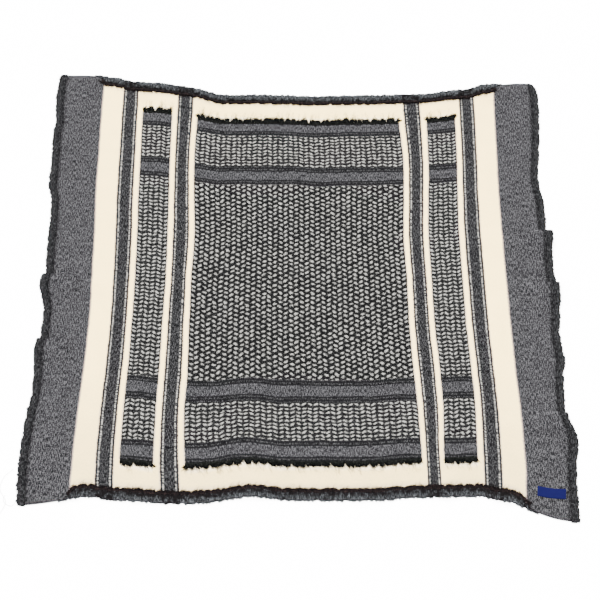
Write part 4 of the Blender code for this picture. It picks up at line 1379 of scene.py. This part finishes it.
@dataclass
class Hem:
    """A turned and rolled hem at one end of the cloth, lumpy and mottled."""

    lay: Lay
    end: End
    finish: bpy.types.Material
    stations: int = 900
    seed: int = 11
    reach: float = 0.492
    crest: float = 0.0034
    knots: float = 0.0007
    # Middle and half width of the stripes that darken the roll where they run under it
    crossings: tuple[tuple[float, float], ...] = ((0.40275, 0.020), (0.2735, 0.019))

    # Share of the width from the outer edge, share of the height over the panel
    profile: tuple[tuple[float, float], ...] = (
        (0.00, -0.42), (-0.02, -0.10), (0.02, 0.30), (0.07, 0.58), (0.16, 0.84), (0.30, 0.98),
        (0.46, 1.00), (0.62, 0.92), (0.78, 0.78), (0.90, 0.58), (0.98, 0.32), (1.00, 0.08),
        (0.60, 0.02), (0.16, 0.02), (0.13, -0.10), (0.12, -0.42),
    )

    def build(self) -> bpy.types.Object:
        """A roll swept across the cloth; its outline and crest swell and pucker unevenly."""
        way = self.end.value
        share = np.array(self.profile)
        u = np.linspace(-self.reach, self.reach, self.stations)
        taper = hem_taper(u)[:, None]
        slow = Rumple(self.seed, 0.030, 0.090).at(u)[:, None]
        pucker = Rumple(self.seed + 1, 0.009, 0.020).at(u)[:, None]
        rag = Rumple(self.seed + 4, 0.004, 0.009).at(u)[:, None]
        knot = Rumple(self.seed + 2, 0.0045, 0.009).at(u[:, None], share[:, 0][None, :] * 0.014)
        width = HEM_WIDTH * taper * (1.05 + 0.08 * slow + 0.06 * pucker + 0.04 * rag)
        outer = (0.0012 * pucker + 0.0005 * slow + 0.0012 * rag) * np.minimum(taper * 1.5, 1)
        v = HALF_LENGTH - share[:, 0][None, :] * width + outer * (share[:, 0][None, :] < 0.5)
        crest = self.crest * taper * (1 + 0.10 * slow + 0.20 * pucker)
        height = np.where(share[:, 1] < 0, share[:, 1] * self.crest, share[:, 1] * crest + 0.00025)
        height = height + np.where(share[:, 1] > 0.25, self.knots, 0.0) * knot * taper
        rings = self.lay.over(u[:, None], way * v, np.maximum(height, -WALL + 0.0002))
        blot = Rumple(self.seed + 3, 0.009, 0.026).at(u[:, None], share[:, 0][None, :] * 0.03)
        start = 0.60 if way > 0 else 0.42
        inner = np.clip((share[:, 0] + 0.10 * pucker - start) * 2.2, 0, 1)
        # Painted shade in the troughs of the puckers, plus random dark blots of the yarn
        pucker_shade_and_blot = 0.26 * np.clip(-pucker, 0, 2) + 0.22 * np.clip(blot, 0, 2)
        stripe = np.min([np.abs(np.abs(u) - middle) / half for middle, half in self.crossings], axis=0)
        crossing = np.clip((1.10 - stripe) * 4, 0, 1)[:, None] * 0.85
        tone = np.maximum(inner + pucker_shade_and_blot + (0.0 if way > 0 else 0.10), crossing)
        name = self.end.name.lower()
        return sweep(
            f"hem_{name}_roll", rings, self.finish,
            woven_at(u[:, None], way * v, np.clip(tone, 0, 1)), "grey_melange_hem", f"hem_{name}",
        )


@dataclass
class CutFloats:
    """A row of cut yarn: lumpy roots on the panel, woolly fingers and curly strands.

    Attributes:
        root: The line across the cloth that the yarn starts from.
        way: 1 if it points to the top end, -1 if to the bottom one.
        low: Where the row starts across the cloth.
        high: Where it ends.
        follows: True if the row keeps beside a hem as that grows thin.
        pitch: The width of a group of threads.
        length: The mean length of a lock.
        fingers: Thick fingers in each group.
        strands: Thin strands in each group.
        thick: The radius of a finger at its root.
        thin: The radius of a strand at its root.
        strip: The width of the roots along the cloth.
        bulk: The height of the row.
        full: How long the locks of a group are, as a share of the length.
        lean: How far a group leans at most, as a share of its width.
        curl: How wide a lock curls at its tip.
        turns: How far it turns, in radians.
        strays: The share of strands that stray, and stray_reach how long they are.
    """

    lay: Lay
    name: str
    finish: bpy.types.Material
    root: float
    way: int
    low: float
    high: float
    follows: bool = False
    pitch: float = 0.0100
    length: float = 0.0175
    fingers: int = 7
    strands: int = 44
    thick: float = 0.0014
    thin: float = 0.00055
    strip: float = 0.0052
    bulk: float = 0.0024
    full: tuple[float, float] = (0.66, 1.04)
    lean: float = 0.55
    curl: tuple[float, float] = (0.0008, 0.0042)
    turns: tuple[float, float] = (1.5, 6.0)
    strays: float = 0.06
    stray_reach: tuple[float, float] = (1.1, 1.9)
    seed: int = 3

    def build(self) -> list[bpy.types.Object]:
        """The lumpy roots, the fingers and the strands over them."""
        return [self.roots(), self.locks("fingers"), self.locks("strands")]

    def line(self, u: np.ndarray) -> np.ndarray:
        """The root line at places across the cloth."""
        if not self.follows:
            return np.full(u.shape, self.root)
        return self.root - self.way * HEM_WIDTH * (1 - hem_taper(u))

    def roots(self) -> bpy.types.Object:
        """A low uneven roll along the root line."""
        stations = max(24, int((self.high - self.low) / 0.0013))
        u = np.linspace(self.low, self.high, stations)
        angle = np.linspace(0, 2 * math.pi, 12, endpoint=False)[None, :]
        lump = Rumple(self.seed, 0.007, 0.018).at(u)[:, None]
        small = Rumple(self.seed + 1, 0.004, 0.009).at(u[:, None], angle * 0.003)
        from_end = np.minimum(u - self.low, self.high - u)
        round_end = np.sqrt(np.clip(from_end / 0.003, 0.02, 1))[:, None]
        half = self.strip * (0.50 + 0.22 * lump + 0.30 * small) * round_end
        crest = self.bulk * 0.70 * (1 + 0.25 * lump + 0.25 * small) * round_end
        v = self.line(u)[:, None] - self.way * self.strip * 0.30 + half * np.cos(angle)
        height = 0.0002 + crest * np.maximum(np.sin(angle), -0.02)
        return sweep(
            f"{self.name}_roots", self.lay.over(u[:, None], v, height), self.finish,
            woven_at(u[:, None], v, 0.45), "black_floats", self.name,
        )

    def locks(self, kind: str) -> bpy.types.Object:
        """Curly locks: a straight run that leans with its group, plus a growing spiral.

        Args:
            kind: "fingers" for the thick woolly ones, "strands" for the thin ones.

        Returns:
            The new piece.
        """
        thick = kind == "fingers"
        each = self.fingers if thick else self.strands
        groups = max(1, round((self.high - self.low) / self.pitch))
        group = np.repeat(np.arange(groups), each)
        many = groups * each
        mood = np.random.default_rng(self.seed + 90)
        full = mood.uniform(*self.full, groups)[group]
        lean = mood.uniform(-self.lean, self.lean, groups)[group]
        rng = np.random.default_rng(self.seed + (100 if thick else 200))
        space = (self.high - self.low) / groups
        if thick:
            inside = rng.uniform(-0.45, 0.45, many)
        else:
            inside = rng.normal(0.0, 0.28, many).clip(-0.5, 0.5)
        stray = (rng.random(many) < self.strays) & (not thick)
        reach = self.length * full * rng.uniform(0.30, 1.0, many) * (1 - 0.35 * np.abs(inside))
        reach = np.where(stray, self.length * rng.uniform(*self.stray_reach, many), reach)
        reach = reach * (0.85 if thick else 1.1)
        step = np.linspace(0, 1, 6)[None, :]
        curl = rng.uniform(*self.curl, many)[:, None] * np.where(stray, 1.7, 1.0)[:, None]
        turns = rng.uniform(*self.turns, many)[:, None]
        phase = rng.uniform(0, 2 * math.pi, many)[:, None]
        start_u = (self.low + space * (group + 0.5) + inside * space * 0.9)[:, None]
        splay = (lean * space + inside * space * rng.uniform(-0.3, 0.9, many))[:, None]
        path_u = start_u + splay * step ** 1.5 + curl * step * np.sin(turns * step * 3 + phase)
        run = reach[:, None] * step * (1 - 0.12 * step)
        path_v = self.line(start_u) + self.way * (run + curl * step * np.cos(turns * step * 2.4 + phase))
        layer = rng.uniform(0.1, 1.0, many)[:, None]
        arch = np.sin(np.clip(step * 1.15, 0, 1) * math.pi) * 0.45 + (1 - step) * 0.75
        radius = (self.thick if thick else self.thin) * rng.uniform(0.6, 1.15, many)[:, None]
        radii = radius * np.where(stray, 0.5, 1.0)[:, None] * np.sqrt(1 - 0.85 * step ** 2)
        height = 0.0003 + self.bulk * layer * arch * (0.5 if thick else 1.0)
        height = height + np.where(stray, 0.0012, 0.0)[:, None] * step + (radii * 0.6 if thick else 0.0)
        paths = self.lay.over(path_u, path_v, height)
        sides = 6 if thick else 3
        tone = rng.uniform(0.20, 0.95, many)[:, None]
        woven = np.repeat(woven_at(path_u, path_v, tone), sides, axis=1)
        net = Weft.strands(paths, radii, sides)
        return piece(f"{self.name}_{kind}", net, self.finish, woven, "black_floats")


@dataclass
class Label:
    """A bare woven label, sewn flat near the corner."""

    lay: Lay
    finish: bpy.types.Material
    width: float = 0.058
    length: float = 0.0205
    height: float = 0.0008
    centre: tuple[float, float] = (0.5205, -0.4385)
    turn: float = math.radians(-6.8)

    def build(self) -> bpy.types.Object:
        """A thin slab with round edges, square to itself on the drifted cloth."""
        centre = np.array(self.centre)
        near = self.length / 4
        slopes = [
            self.lay.over(*(centre + way), 0) - self.lay.over(*(centre - way), 0)
            for way in np.eye(2) * near
        ]
        woven_from_flat = np.linalg.inv(np.stack(slopes, axis=1)[:2] / (2 * near))
        across = np.linspace(-0.5, 0.5, 72)
        side = np.linspace(-0.5, 0.5, 15)
        profile = np.concatenate((
            np.stack((side, 1 - 0.75 * (np.abs(side) * 2) ** 10), axis=-1),
            np.stack((side[::-1], np.zeros(15)), axis=-1),
        ))
        ends = 1 - 0.7 * (np.abs(across) * 2) ** 24
        flat = np.stack(np.broadcast_arrays(
            (across * self.width)[:, None], (profile[:, 0] * self.length)[None, :]), axis=-1)
        turn = np.array((
            (math.cos(self.turn), -math.sin(self.turn)),
            (math.sin(self.turn), math.cos(self.turn)),
        ))
        place = centre + flat @ turn.T @ woven_from_flat.T
        puff = 1 + 0.35 * Rumple(8, 0.012, 0.030).at(flat[..., 0], flat[..., 1])
        height = 0.0003 + self.height * profile[None, :, 1] * ends[:, None] * puff
        rings = self.lay.over(place[..., 0], place[..., 1], height)
        hem = np.clip((np.abs(flat[..., 0]) - self.width * 0.47) * 900, 0, 1) * 0.5
        woven = np.concatenate((flat, hem[..., None]), axis=-1)
        return sweep("label_tape", rings, self.finish, woven, "navy_label", "label")


@dataclass
class LooseThreads:
    """A few single yarns that have come away, laid on the table and on the cloth."""

    lay: Lay
    finish: bpy.types.Material
    steps: int = 48
    radius: float = 0.00035
    routes: tuple[tuple[tuple[float, float], ...], ...] = (
        (
            (-0.588, -0.421), (-0.606, -0.437), (-0.612, -0.462), (-0.598, -0.486),
            (-0.602, -0.503), (-0.611, -0.516),
        ),
        ((-0.575, -0.486), (-0.584, -0.496), (-0.597, -0.492), (-0.603, -0.483), (-0.600, -0.474)),
    )

    def build(self) -> bpy.types.Object:
        """Each thread is a smooth curve through a few places, as a three-sided strand."""
        paths = []
        for route in self.routes:
            marks = np.array(route) + self.lay.shift[:2]
            at = np.linspace(0, len(marks) - 1, self.steps)
            height = 0.0007 + 0.0012 * np.exp(-(at / 0.5) ** 2)
            paths.append(np.column_stack((self.smooth(marks, at), height)))
        net = Weft.strands(np.array(paths), np.full((len(paths), self.steps), self.radius))
        woven = woven_at(*net.points[:, :2].T, 0.6)
        return piece("loose_threads", net, self.finish, woven, "charcoal_selvedge")

    @staticmethod
    def smooth(marks: np.ndarray, at: np.ndarray) -> np.ndarray:
        """A Catmull-Rom curve through the marks, read at their index."""
        padded = np.concatenate((2 * marks[:1] - marks[1:2], marks, 2 * marks[-1:] - marks[-2:-1]))
        k = np.clip(np.floor(at).astype(int), 0, len(marks) - 2)
        t = (at - k)[:, None]
        a, b, c, d = (padded[k + n] for n in range(4))
        square, cube = 2 * a - 5 * b + 4 * c - d, 3 * b - a - 3 * c + d
        return 0.5 * (2 * b + (c - a) * t + square * t ** 2 + cube * t ** 3)


@dataclass
class Studio:
    """The pale table, the soft light and the camera."""

    lay: Lay
    tilt: float = math.radians(20.7)
    distance: float = 1.998
    lens: float = 54.0
    aim: tuple[float, float] = (0.005, -0.046)
    half_table: float = 6.0
    paper: Colour = (0.90, 0.90, 0.90)
    glow: float = 9.0
    sky: float = 3.6
    # Name, height over the table, heading from the near side, spread and strength
    lamps: tuple[tuple[str, float, float, float, float], ...] = (
        ("key_lamp", 40.0, 215.0, 25.0, 17.0),
        ("fill_lamp", 55.0, 30.0, 40.0, 2.8),
    )

    def build(self) -> None:
        """Make the table, the world, the lamps and the camera."""
        self.table()
        self.light()
        self.camera()

    def table(self) -> None:
        """A wide plain sheet of paper just under the scarf."""
        mesh = bpy.data.meshes.new("table")
        half = self.half_table
        corners = [(-half, -half, 0), (half, -half, 0), (half, half, 0), (-half, half, 0)]
        mesh.from_pydata(corners, [], [(0, 1, 2, 3)])
        made = bpy.data.objects.new("table", mesh)
        made.location = (0, 0, -0.0003)
        bpy.context.scene.collection.objects.link(made)
        paper = bpy.data.materials.new("table_paper")
        paper.use_nodes = True
        Loom(paper.node_tree).put(
            paper.node_tree.nodes["Principled BSDF"], Base_Color=self.paper, Roughness=0.95,
            Specular_IOR_Level=0.0, Emission_Color=(1.0, 1.0, 1.0), Emission_Strength=self.glow,
        )
        mesh.materials.append(paper)

    def light(self) -> None:
        """A bright even sky and two soft suns, the stronger one beyond the far left corner."""
        world = bpy.data.worlds.new("soft_room")
        world.use_nodes = True
        sky = world.node_tree.nodes["Background"]
        sky.inputs["Color"].default_value = (1.0, 1.0, 1.0, 1.0)
        sky.inputs["Strength"].default_value = self.sky
        bpy.context.scene.world = world
        for name, height, heading, spread, strength in self.lamps:
            lamp = bpy.data.lights.new(name, "SUN")
            lamp.energy = strength
            lamp.angle = math.radians(spread)
            made = bpy.data.objects.new(name, lamp)
            made.location = (0.0, 0.0, 3.0)
            made.rotation_euler = (math.radians(90.0 - height), 0.0, math.radians(heading))
            bpy.context.scene.collection.objects.link(made)

    def camera(self) -> None:
        """The camera above the near edge, aimed at the middle of the picture on the table."""
        lens = bpy.data.cameras.new("camera")
        lens.lens = self.lens
        lens.sensor_width = 36.0
        lens.clip_start, lens.clip_end = 0.05, 50.0
        made = bpy.data.objects.new("camera", lens)
        x, y = self.aim[0] + self.lay.shift[0], self.aim[1] + self.lay.shift[1]
        made.location = (x, y - self.distance * math.sin(self.tilt), self.distance * math.cos(self.tilt))
        made.rotation_euler = (self.tilt, 0.0, 0.0)
        bpy.context.scene.collection.objects.link(made)
        bpy.context.scene.camera = made


@dataclass
class Scarf:
    """The whole scarf: panel, selvedges, hems, floats, label and loose threads."""

    lay: Lay

    def build(self) -> None:
        effects = Effects()
        dye = Dye()
        weave = PanelFinish("patterned_weave").build(effects)
        edge, hem, black, brown = (finish.build(effects) for finish in (
            YarnFinish(
                "selvedge_yarn", relief=1.0, depth=0.0020, deep=dye.selvedge_dark, mottle=1.4,
                mottle_pace=(230.0, 150.0),
            ),
            YarnFinish(
                "hem_yarn", relief=1.0, depth=0.0026, light=dye.hem_light, dark=dye.hem_dark,
                deep=dye.hem_deep, mottle=1.6, mottle_pace=(130.0, 90.0),
            ),
            YarnFinish(
                "black_yarn", gloss=0.004, light=dye.black_light, dark=dye.black, mottle=1.2,
            ),
            YarnFinish(
                "brown_black_yarn", gloss=0.004, light=dye.rust, dark=dye.hem_deep,
                deep=dye.hem_deep, mottle=1.4,
            ),
        ))
        tape = TapeFinish("label_tape", relief=0.4, depth=0.0002).build(effects)

        panel = Panel(self.lay, weave).build()
        others: list[bpy.types.Object] = []
        for side in Side:
            others += Selvedge(self.lay, side, edge, seed=5 + side.value).build()
        for end in End:
            way = end.value
            name = end.name.lower()
            others.append(Hem(self.lay, end, hem, seed=21 + way).build())
            line = way * (HALF_LENGTH - HEM_WIDTH - 0.0050)
            others += CutFloats(
                self.lay, f"hem_floats_{name}", brown, line, -way,
                -BORDER_LINE - 0.006, BORDER_LINE + 0.006, follows=True, pitch=0.0105, length=0.0062,
                fingers=6, strands=26, thick=0.0011, strip=0.0064, bulk=0.0020, seed=50 + way,
            ).build()
            root = TOP_FLOAT_LINE if way > 0 else BOTTOM_FLOAT_LINE
            for block, low, high in (
                ("left", -COLUMN[1], -COLUMN[0]),
                ("centre", -CENTRE_LINE, CENTRE_LINE),
                ("right", COLUMN[0], COLUMN[1]),
            ):
                others += CutFloats(
                    self.lay, f"floats_{block}_{name}", black, root, way,
                    low, high, length=0.0175 if way > 0 else 0.0130, seed=70 + way + len(others),
                ).build()
        others.append(Label(self.lay, tape).build())
        others.append(LooseThreads(self.lay, edge).build())


def main() -> None:
    """Build the scarf and its studio."""
    logging.basicConfig(level=logging.INFO, format="%(name)s: %(message)s")
    lay = Lay()
    lay.settle()
    Scarf(lay).build()
    Studio(lay).build()


if __name__ == "__main__":
    main()
